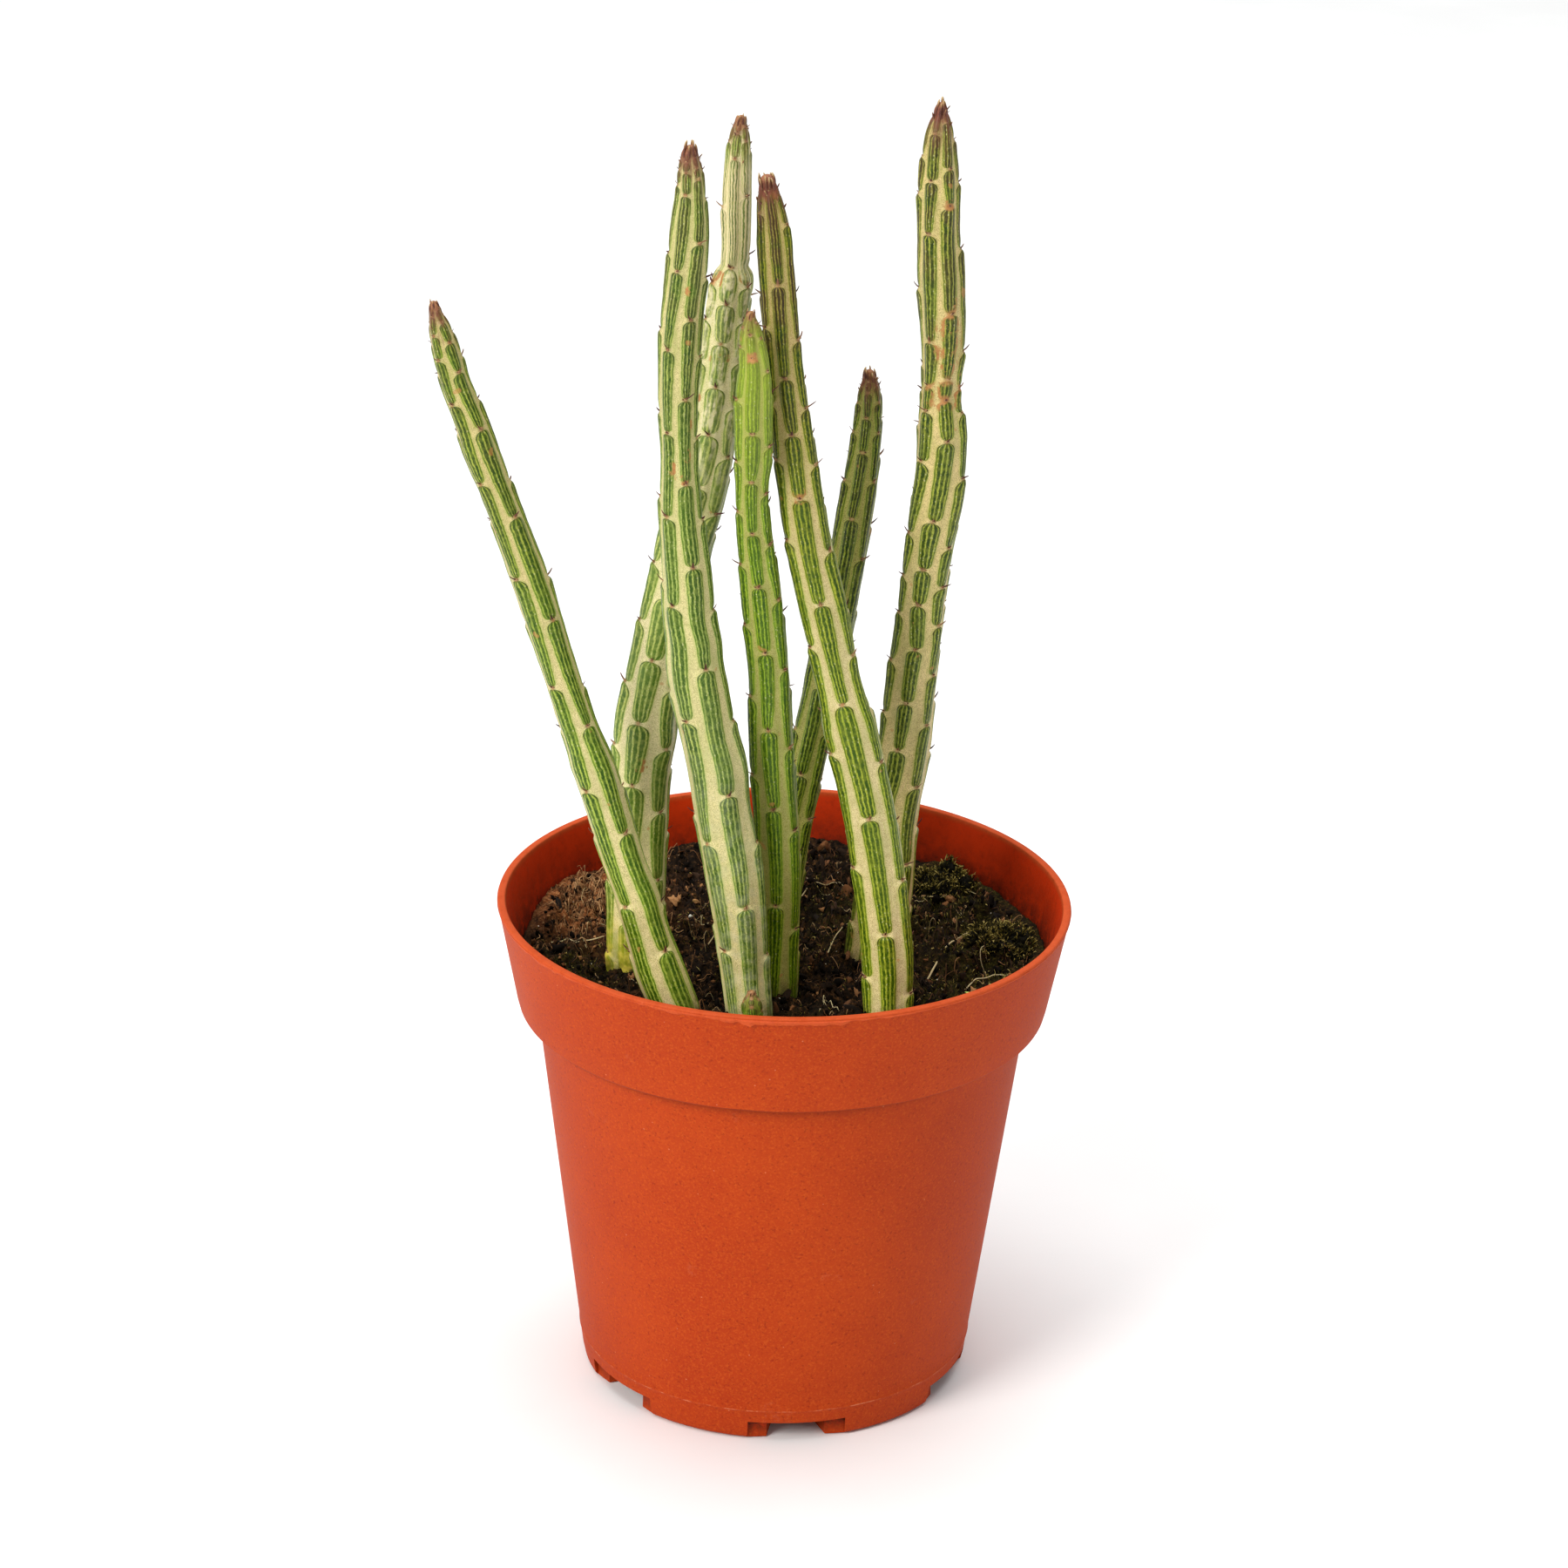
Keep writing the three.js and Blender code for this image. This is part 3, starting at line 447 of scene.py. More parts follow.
def bits_material(name, stops, rough=0.8, bump=0.3, size=0.3, sss=0.0, spec=0.3):
    """For batches: colour from each shape's tone, broken up by fine noise."""
    g = G(name)
    t = g.add(g.attr("tone"), g.mul(g.sub(g.noise(size, 3, 0.6), 0.5), 0.35))
    col = g.ramp(t, stops)
    nrm = g.bump(g.noise(size * 0.7, 3, 0.6), bump, 0.08)
    return g.finish(col, rough, nrm, sss=sss, sss_mm=0.5, spec=spec)


def stem_material(name, light, dark, outline, band, speck, bloom=0.0, bloom_rgb=(178, 188, 158), purple=0.6, cover=0.33,
                  base_yellow=0.0, fade=0.0, pale_top=0.0, bright_top=0.0, deepen=1.0, seed=0.0):
    g = G(name)
    uv = g.node("ShaderNodeUVMap", uv_map="pattern")
    s = g.node("ShaderNodeSeparateXYZ")
    g.put(s.inputs[0], uv.outputs[0])
    U, V = s.outputs[0], s.outputs[1]
    k, n = g.m("FLOOR", U), g.m("FLOOR", V)
    x, v = g.sub(g.m("FRACT", U), 0.5), g.m("FRACT", V)
    rn = g.node("ShaderNodeTexWhiteNoise", noise_dimensions="3D")
    g.put(rn.inputs[0], g.combine(g.add(k, 0.5), g.add(n, 0.5), 7.0 + seed))
    rs = g.node("ShaderNodeSeparateColor")
    g.put(rs.inputs[0], rn.outputs["Color"])
    r1, r2, r3 = rs.outputs[0], rs.outputs[1], rs.outputs[2]
    L, rho, tip, sax = g.attr("internode"), g.attr("colwidth"), g.attr("tipdist"), g.attr("along")
    # distances on the skin in mm: below the scar above, above the scar below, and sideways
    wob = g.sub(g.noise(1.8, 3, 0.55), 0.5)
    wob2 = g.sub(g.noise(0.42, 2, 0.5), 0.5)
    dt = g.mul(v, L)
    db = g.mul(g.sub(1.0, v), L)
    xm = g.mul(x, rho)
    # half width of the green patch
    W = g.mul(rho, g.add(g.add(cover, g.step(tip, 120.0, 60.0, 0.0, 0.075)), g.mul(g.sub(r1, 0.5), 0.09)))
    taper = g.sub(1.0, g.mul(g.m("POWER", v, 1.8), g.add(0.18, g.mul(r2, 0.24))))
    top_len = g.mul(W, 0.86)
    tt = g.m("SUBTRACT", g.div(g.sub(dt, 0.22), top_len), 1.0)
    tt = g.mn(g.mx(tt, -1.0), 0.0)
    top = g.m("POWER", g.mx(g.sub(1.0, g.mul(tt, tt)), 0.0), 0.48)
    bl = g.mul(W, 0.58)
    bt = g.m("SUBTRACT", g.div(g.sub(db, 0.20), bl), 1.0)
    bt = g.mn(g.mx(bt, -1.0), 0.0)
    bot = g.m("POWER", g.mx(g.sub(1.0, g.mul(bt, bt)), 0.0), 0.34)
    Wt = g.mul(g.mul(W, taper), g.mn(top, bot))
    shift = g.mul(g.mul(g.sub(r3, 0.5), 0.16), g.mul(rho, g.mul(v, v)))
    xs = g.add(g.sub(xm, shift), g.add(g.mul(wob, 0.36), g.mul(wob2, 0.16)))
    ax = g.m("ABSOLUTE", xs)
    edge = g.sub(Wt, ax)
    mask = g.step(edge, -0.05, 0.09)
    q = g.div(xs, g.mx(Wt, 0.05))
    # light beaded lines that run along the patch between dark ones
    line_noise = g.noise(1.0, 2, 0.5, vec=g.combine(g.mul(xm, 0.9), g.mul(sax, 0.8), g.mul(k, 5.0)))
    qq = g.add(q, g.mul(g.sub(line_noise, 0.5), 0.22))
    cosq = g.add(0.5, g.mul(-0.5, g.m("COSINE", g.mul(qq, 4 * math.pi))))
    lite = g.step(cosq, 0.48, 0.94)
    bead = g.noise(1.0, 2, 0.6, vec=g.combine(g.mul(xm, 2.2), g.mul(sax, 2.6), g.mul(k, 3.1)))
    lite = g.mul(lite, g.step(bead, 0.32, 0.56, 0.50, 1.0))
    lite = g.mul(lite, g.step(g.noise(2.2, 2), 0.30, 0.52, 0.55, 1.0))
    lite = g.mul(lite, g.step(edge, 0.05, 0.28, 0.25, 1.0))
    dv = g.voronoi(0.52, vec=g.combine(xm, g.mul(sax, 0.72), g.mul(k, 3.1)), rand=0.85)
    dots = g.mul(g.step(dv, 0.14, 0.30, 1.0, 0.0), g.step(cosq, 0.30, 0.80, 0.10, 1.0))
    rim = g.step(edge, 0.0, 0.34, 1.0, 0.0)
    crown = g.mul(g.step(dt, 2.6, 1.2), g.step(edge, 0.02, 0.50, 1.0, 0.0))
    hue = g.noise(8.0, 2, 0.5)
    drk = g.mix(g.step(hue, 0.35, 0.65), dark, tuple(c * f for c, f in zip(dark[:3], (1.7, 1.35, 1.0))) + (1.0,))
    drk = g.mix(g.mul(r2, 0.35), drk, tuple(c * f for c, f in zip(dark[:3], (0.6, 0.66, 0.9))) + (1.0,))
    drk = g.mix(g.step(g.noise(0.9, 3, 0.6), 0.40, 0.70, 0.0, 0.30), drk, light)
    lt = g.mix(g.step(hue, 0.35, 0.65), light, tuple(c * f for c, f in zip(light[:3], (0.82, 0.88, 0.9))) + (1.0,))
    pf = g.mul(g.step(tip, 62.0, 12.0), purple)
    pn = g.step(g.noise(4.0, 2), 0.34, 0.58)
    drk = g.mix(g.mul(g.mul(pf, pn), 0.85), drk, lin(64, 44, 28))
    lt = g.mix(g.mul(g.mul(pf, pn), 0.55), lt, lin(162, 144, 92))
    patch = g.mix(lite, drk, lt)
    patch = g.mix(g.mul(dots, 0.55), patch, lin(200, 204, 150))
    patch = g.mix(g.mul(rim, 0.55), patch, tuple(c * f for c, f in zip(light[:3], (0.62, 0.82, 0.5))) + (1.0,))
    patch = g.mix(g.mul(crown, 0.85), patch, outline)
    # the pale band, finely speckled
    sp = g.noise(0.15, 2, 0.6)
    sp2 = g.noise(0.6, 3, 0.6)
    bandc = g.mix(g.step(g.noise(5.0, 3, 0.6), 0.35, 0.7, 0.0, 1.0), band, tuple(c * f for c, f in zip(band[:3], (0.80, 0.86, 0.76))) + (1.0,))
    bandc = g.mix(g.mul(g.step(sp, 0.42, 0.60), g.step(sp2, 0.34, 0.60, 0.35, 0.85)), bandc, speck)
    streak = g.noise(1.0, 3, 0.6, vec=g.combine(g.mul(xm, 2.4), g.mul(sax, 0.30), g.mul(k, 2.7)))
    bandc = g.mix(g.step(streak, 0.56, 0.72, 0.0, 0.40), bandc, light)
    bandc = g.mix(g.mul(g.step(edge, -0.50, -0.02), 0.40), bandc, light)
    col = g.mix(mask, bandc, patch)
    if fade > 0:
        fd = g.mul(g.step(g.noise(4.5, 3, 0.62), 0.30, 0.58, 0.15, 1.0), g.mul(g.step(tip, 120.0, 60.0, fade * 0.45, fade), g.step(tip, 24.0, 34.0, 0.25, 1.0)))
        col = g.mix(fd, col, bandc)
    if pale_top > 0:
        pt = g.mul(g.mn(g.step(tip, 23.0, 28.0), g.step(tip, 76.0, 50.0)), pale_top)
        arc_line = g.mul(g.mul(g.step(dt, 4.2, 2.2), g.step(edge, 0.10, 0.75, 1.0, 0.0)), mask)
        pt = g.mul(pt, g.step(arc_line, 0.1, 0.6, 1.0, 0.0))
        ps = g.noise(1.0, 3, 0.6, vec=g.combine(g.mul(xm, 0.75), g.mul(sax, 0.20), g.mul(k, 2.9)))
        pt = g.mul(pt, g.step(ps, 0.40, 0.54, 1.0, 0.10))
        pt = g.mul(pt, g.step(g.noise(1.5, 4, 0.65), 0.38, 0.52, 0.35, 1.0))
        col = g.mix(pt, col, g.mix(sp2, lin(224, 222, 184), lin(190, 192, 142)))
        keep_line = g.mul(mask, g.step(cosq, 0.50, 0.20))
        py = g.mul(g.step(tip, 30.0, 23.0), g.step(tip, 5.0, 10.0))
        col = g.mix(g.mul(py, g.sub(0.74, g.mul(keep_line, 0.66))), col, g.mix(sp2, lin(228, 220, 180), lin(196, 188, 138)))
    if bloom > 0:
        bf = g.mul(g.step(sax, 98.0, 20.0), g.step(g.noise(2.6, 4, 0.7), 0.38, 0.66, 0.06, 1.0))
        col = g.mix(g.mul(bf, bloom), col, lin(*bloom_rgb))
    if bright_top > 0:
        col = g.mix(g.mul(g.step(tip, 44.0, 3.0), bright_top), col, g.mix(sp2, lin(142, 168, 40), lin(182, 192, 88)))
    # leaf scar: a tan spot with a dark rim
    ds = g.mn(dt, db)
    d = g.m("SQRT", g.add(g.mul(xm, xm), g.mul(g.mul(ds, ds), 1.7)))
    d = g.add(d, g.mul(wob2, 0.35))
    col = g.mix(g.mul(g.step(d, 0.42, 0.85, 1, 0), 0.45), col, lin(104, 92, 48))
    col = g.mix(g.mul(g.step(d, 0.22, 0.46, 1, 0), 0.85), col, g.mix(r3, lin(190, 166, 116), lin(152, 106, 64)))
    # corky growth along the edges of some patches, and orange flecks
    ck = g.attr("cork")
    line = g.step(g.m("ABSOLUTE", g.add(edge, g.mul(wob2, 0.5))), 0.16, 0.46, 1.0, 0.0)
    line = g.mx(line, g.step(d, 0.5, 1.5, 1.0, 0.0))
    blot = g.step(g.noise(1.2, 4, 0.7), 0.56, 0.66)
    cork = g.mul(g.step(ck, 0.12, 0.45), g.mx(g.mul(line, g.step(g.noise(2.2, 2), 0.36, 0.50)), g.mul(blot, 0.8)))
    col = g.mix(cork, col, g.mix(g.noise(0.5, 3), lin(196, 150, 92), lin(142, 96, 52)))
    fleck = g.mul(g.step(g.noise(2.7, 1, 0.4), 0.75, 0.79), 0.55)
    col = g.mix(fleck, col, lin(182, 134, 78))
    if base_yellow > 0:
        by = g.mul(g.step(sax, 37.0, 20.0), base_yellow)
        col = g.mix(g.mul(by, g.step(g.noise(3.2, 3), 0.30, 0.55, 0.35, 1.0)), col, g.mix(g.step(g.noise(2.6, 3), 0.4, 0.60), lin(196, 190, 74), lin(128, 140, 12)))
    # the lower stem is a little paler, the upper a little deeper
    pale = g.step(sax, 70.0, 22.0, 0.0, 1.0)
    col = g.mix(g.mul(pale, 0.85), col, g.mix(1.0, col, (1.52, 1.50, 1.46, 1.0), "MULTIPLY"))
    deep = g.step(tip, 95.0, 25.0, 0.0, deepen)
    col = g.mix(deep, col, g.mix(1.0, col, (0.80, 0.71, 0.56, 1.0), "MULTIPLY"))
    # maroon tip
    tf = g.add(tip, g.mul(wob, 3.4))
    mar = min(1.0, purple + 0.35)
    sn = g.step(g.noise(1.0, 3, 0.6, vec=g.combine(g.mul(xm, 2.2), g.mul(sax, 0.25), g.mul(k, 2.7))), 0.40, 0.62)
    col = g.mix(g.mul(g.mul(g.step(tf, 10.5, 3.5), sn), 0.8 * mar), col, lin(104, 66, 48))
    col = g.mix(g.mul(g.step(tf, 5.2, 1.8), 0.92 * mar), col, g.mix(sp2, lin(88, 40, 38), lin(134, 80, 62)))
    col = g.mix(g.mul(g.step(tf, 1.6, 0.2), 0.7), col, lin(160, 112, 76))
    # soil-stained foot
    foot = g.mul(g.step(sax, 25.5, 19.5), g.step(g.noise(1.8, 4, 0.7), 0.34, 0.62, 0.05, 0.75))
    col = g.mix(foot, col, lin(84, 70, 38))
    col = g.mix(1.0, col, (1.12, 1.02, 1.0, 1.0), "MULTIPLY")
    rough = g.add(0.40, g.add(g.mul(sp, 0.18), g.mul(mask, -0.04)))
    h = g.add(g.mul(g.mul(lite, mask), 0.45), g.add(g.mul(dots, 0.45), g.mul(sp, 0.38)))
    h = g.add(h, g.mul(g.step(edge, -0.1, 0.25), 0.65))
    nrm = g.bump(h, 0.50, 0.11)
    return g.finish(col, rough, nrm, sss=0.06, sss_mm=0.7, sss_rgb=(0.9, 1.0, 0.35), coat=0.0, spec=0.26)


# ------------------------------------------------------------------ pot
def collar_r(z): return COLLAR_LOW_R + (COLLAR_TOP_R - COLLAR_LOW_R) * (z - COLLAR_Z) / (POT_HEIGHT - COLLAR_Z)
def body_r(z): return POT_FOOT_R + (POT_BODY_TOP_R - POT_FOOT_R) * z / COLLAR_Z
def collar_in(z): return collar_r(z) - (WALL + (RIM - WALL) * (z - SHELF_Z) / (POT_HEIGHT - SHELF_Z))
def body_in(z): return body_r(z) - WALL


def lathe(name, profile, segments):
    """A closed solid from (r, z) points that start and end on the axis."""
    verts, faces = [(0, 0, profile[0][1])], []
    a = np.arange(segments) / segments * 2 * np.pi
    for r, z in profile[1:-1]:
        verts += [(r * c, r * s, z) for c, s in zip(np.cos(a), np.sin(a))]
    verts.append((0, 0, profile[-1][1]))
    n = len(profile) - 2
    for i in range(segments):
        j = (i + 1) % segments
        faces.append([0, 1 + j, 1 + i])
        for k in range(n - 1):
            p, q = 1 + k * segments, 1 + (k + 1) * segments
            faces.append([p + i, p + j, q + j, q + i])
        p = 1 + (n - 1) * segments
        faces.append([p + i, p + j, len(verts) - 1])
    me = bpy.data.meshes.new(name)
    me.from_pydata([tuple(c * MM for c in v) for v in verts], [], faces)
    me.update()
    ob = bpy.data.objects.new(name, me)
    bpy.context.scene.collection.objects.link(ob)
    return ob


def outward(ob):
    bm = bmesh.new()
    bm.from_mesh(ob.data)
    bmesh.ops.recalc_face_normals(bm, faces=bm.faces)
    bm.to_mesh(ob.data)
    bm.free()


def cut(target, tool, operation):
    m = target.modifiers.new("b", "BOOLEAN")
    m.object, m.operation, m.solver = tool, operation, "EXACT"
    dg = bpy.context.evaluated_depsgraph_get()
    me = bpy.data.meshes.new_from_object(target.evaluated_get(dg))
    target.modifiers.clear()
    old = target.data
    target.data = me
    bpy.data.meshes.remove(old)
    bpy.data.objects.remove(tool)


def prism(name, pts, z0, z1):
    n = len(pts)
    verts = [(x * MM, y * MM, z0 * MM) for x, y in pts] + [(x * MM, y * MM, z1 * MM) for x, y in pts]
    faces = [list(range(n))[::-1], list(range(n, 2 * n))] + [[i, (i + 1) % n, n + (i + 1) % n, n + i] for i in range(n)]
    me = bpy.data.meshes.new(name)
    me.from_pydata(verts, [], faces)
    ob = bpy.data.objects.new(name, me)
    bpy.context.scene.collection.objects.link(ob)
    outward(ob)
    return ob


def arc(cx, cz, r, a0, a1, n):
    return [(cx + r * math.cos(math.radians(a0 + (a1 - a0) * i / n)), cz + r * math.sin(math.radians(a0 + (a1 - a0) * i / n))) for i in range(n + 1)]


def build_pot():
    outer = [(0, 0), (20, 0), (33.0, 0)] + arc(POT_FOOT_R - 1.0, 1.0, 1.0, -90, 0, 4)
    outer += [(body_r(z), z) for z in (2.4, 4.0, 5.2, 5.9)]
    outer += [(body_r(6.1) + 0.05, 6.1), (body_r(6.35) + 0.13, 6.35), (body_r(6.6) + 0.05, 6.6), (body_r(6.8), 6.8)]
    outer += [(body_r(z), z) for z in np.linspace(9, 71.5, 12)]
    outer += [(body_r(72.6) + 0.06, 72.6), (POT_BODY_TOP_R + 0.25, 73.0), (POT_BODY_TOP_R + 0.7, COLLAR_Z), (COLLAR_LOW_R - 0.55, COLLAR_Z)]
    outer += arc(COLLAR_LOW_R - 0.5, COLLAR_Z + 0.5, 0.5, -80, 0, 4)
    outer += [(collar_r(z), z) for z in np.linspace(75, 91.6, 6)]
    outer += [(COLLAR_TOP_R - 0.06, 92.5)] + arc(COLLAR_TOP_R - 0.34, POT_HEIGHT - 0.32, 0.32, 8, 90, 4)
    outer += [(COLLAR_TOP_R - RIM + 0.4, POT_HEIGHT)]
    inner = arc(COLLAR_TOP_R - RIM + 0.32, POT_HEIGHT - 0.30, 0.28, 100, 180, 3)
    inner += [(collar_in(z), z) for z in np.linspace(92, SHELF_Z + 0.8, 6)]
    inner += [(collar_in(SHELF_Z) - 0.2, SHELF_Z + 0.1), (body_in(SHELF_Z) + 0.1, SHELF_Z), (body_in(70), 70.0), (body_in(40), 40.0),
              (body_in(FLOOR + 1), FLOOR + 1), (body_in(FLOOR) - 1.0, FLOOR), (15, FLOOR), (0, FLOOR)]
    pot = lathe("nursery_pot_fine", outer + inner, 192)
    outward(pot)
    slope = (NOTCH_OUTER_W - NOTCH_INNER_W) / 2 / (RECESS_R - NOTCH_INNER_R)

    def half(r): return NOTCH_INNER_W / 2 + slope * (r - NOTCH_INNER_R)

    def slab(r0, h0, r1, h1, z0, z1, turn):
        c, s = math.cos(turn), math.sin(turn)
        pts = [(r0, -h0), (r1, -h1), (r1, h1), (r0, h0)]
        return prism("t", [(x * c - y * s, x * s + y * c) for x, y in pts], z0, z1)

    for k in range(NOTCH_COUNT):
        turn = math.radians(NOTCH_FIRST_DEG + k * 360 / NOTCH_COUNT)
        box = slab(NOTCH_INNER_R - WALL, half(NOTCH_INNER_R - WALL) + WALL, RECESS_R - 0.01, half(RECESS_R) + WALL, 0.5, NOTCH_HEIGHT + WALL, turn)
        cut(box, slab(RECESS_R - WALL, RECESS_W / 2 + WALL, 44, RECESS_W / 2 + WALL, 0.5, NOTCH_HEIGHT + WALL, turn), "UNION")
        ring = [((POT_FOOT_R - 0.45) * math.cos(i / 96 * 2 * math.pi), (POT_FOOT_R - 0.45) * math.sin(i / 96 * 2 * math.pi)) for i in range(96)]
        cut(box, prism("t", ring, -2, 8), "INTERSECT")
        cut(pot, box, "UNION")
        cut(pot, slab(NOTCH_INNER_R, half(NOTCH_INNER_R), RECESS_R + 1, half(RECESS_R + 1), -1, NOTCH_HEIGHT, turn), "DIFFERENCE")
        cut(pot, slab(RECESS_R, RECESS_W / 2, 44, RECESS_W / 2, -1.2, NOTCH_HEIGHT, turn), "DIFFERENCE")
        hole = [(DRAIN_R * math.cos(i / 32 * 2 * math.pi), DRAIN_R * math.sin(i / 32 * 2 * math.pi)) for i in range(32)]
        c, s = math.cos(turn) * DRAIN_AT_R, math.sin(turn) * DRAIN_AT_R
        cut(pot, prism("t", [(x + c, y + s) for x, y in hole], -1, 8), "DIFFERENCE")
    # the thin ragged flash left on the outer edge of the rim, as part of the same moulding
    n, R0, z0 = 1440, COLLAR_TOP_R, 92.62
    th = np.arange(n) / n * 2 * np.pi
    deg = np.degrees(th)
    rag = np.clip(fbm(np.cos(th) * 16, np.sin(th) * 16, 0 * th, 4, 0.62, 3) * 0.55 + 0.45, 0, 1)
    front = np.exp(-((deg - 268) / 24) ** 4)
    left = np.exp(-((deg - 218) / 9) ** 2) * 0.7
    flap = np.exp(-((deg - 263.6) / 1.3) ** 4) + 0.45 * np.exp(-((deg - 249) / 1.6) ** 2) + 0.5 * np.exp(-((deg - 281) / 1.2) ** 2)
    w = np.clip(0.10 + 0.9 * front + left, 0, 1)
    out = 0.05 + 0.30 * rag * w + 0.22 * flap
    drop = 0.10 + 0.42 * rag * w + 0.55 * flap
    sect = np.stack([np.stack([R0 - 0.30 + 0 * th, z0 + 0.30 + 0 * th], -1), np.stack([R0 + out, z0 + 0.10 - 0.2 * drop], -1),
                     np.stack([R0 + out - 0.06, z0 - drop], -1), np.stack([R0 - 0.3 + 0 * th, z0 - 0.30 - 0.2 * drop], -1)], 1)
    fv = np.stack([sect[:, :, 0] * np.cos(th)[:, None], sect[:, :, 0] * np.sin(th)[:, None], sect[:, :, 1]], -1).reshape(-1, 3)
    ff = [[i * 4 + s, ((i + 1) % n) * 4 + s, ((i + 1) % n) * 4 + (s + 1) % 4, i * 4 + (s + 1) % 4] for i in range(n) for s in range(4)]
    me = pot.data
    bm = bmesh.new()
    bm.from_mesh(me)
    vs = [bm.verts.new(tuple(p)) for p in fv * MM]
    made = [bm.faces.new([vs[i] for i in f]) for f in ff]
    bmesh.ops.recalc_face_normals(bm, faces=made)
    bm.to_mesh(me)
    bm.free()
    me.update()
    me.materials.clear()
    me.materials.append(pot_material())
    me.polygons.foreach_set("use_smooth", np.ones(len(me.polygons), dtype=bool))
    me.set_sharp_from_angle(angle=math.radians(38))
    co = np.empty(len(me.vertices) * 3)
    me.vertices.foreach_get("co", co)
    co = co.reshape(-1, 3) / MM
    r, z = np.hypot(co[:, 0], co[:, 1]), co[:, 2]
    inside = ((z > FLOOR + 0.1) & (r < np.where(z > SHELF_Z, collar_r(z), body_r(z)) - 0.9)) & (z < 92.80)
    add_float(me, "inside", inside.astype(float))
    add_float(me, "rim", ((z > 92.55) & (r > 50.5) | (r > 52.53)).astype(float))
    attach(pot, "root")
    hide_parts("nursery_pot")
    return pot


# ------------------------------------------------------------------ stems
def pchip(x, xp, fp):
    """Monotone cubic through the points."""
    xp, fp = np.asarray(xp, float), np.asarray(fp, float)
    h, d = np.diff(xp), np.diff(fp) / np.diff(xp)
    mm = np.zeros(len(xp))
    mm[0], mm[-1] = d[0], d[-1]
    for i in range(1, len(xp) - 1):
        if d[i - 1] * d[i] > 0:
            w1, w2 = 2 * h[i] + h[i - 1], h[i] + 2 * h[i - 1]
            mm[i] = (w1 + w2) / (w1 / d[i - 1] + w2 / d[i])
    i = np.clip(np.searchsorted(xp, x) - 1, 0, len(h) - 1)
    t = (x - xp[i]) / h[i]
    return ((2 * t ** 3 - 3 * t ** 2 + 1) * fp[i] + (t ** 3 - 2 * t ** 2 + t) * h[i] * mm[i] + (-2 * t ** 3 + 3 * t ** 2) * fp[i + 1] + (t ** 3 - t ** 2) * h[i] * mm[i + 1])


def smooth_curve(x, xp, fp):
    """Natural-looking cubic (finite-difference tangents)."""
    xp, fp = np.asarray(xp, float), np.asarray(fp, float)
    h = np.diff(xp)
    mm = np.gradient(fp, xp)
    i = np.clip(np.searchsorted(xp, x) - 1, 0, len(h) - 1)
    t = (x - xp[i]) / h[i]
    return ((2 * t ** 3 - 3 * t ** 2 + 1) * fp[i] + (t ** 3 - 2 * t ** 2 + t) * h[i] * mm[i] + (-2 * t ** 3 + 3 * t ** 2) * fp[i + 1] + (t ** 3 - t ** 2) * h[i] * mm[i + 1])


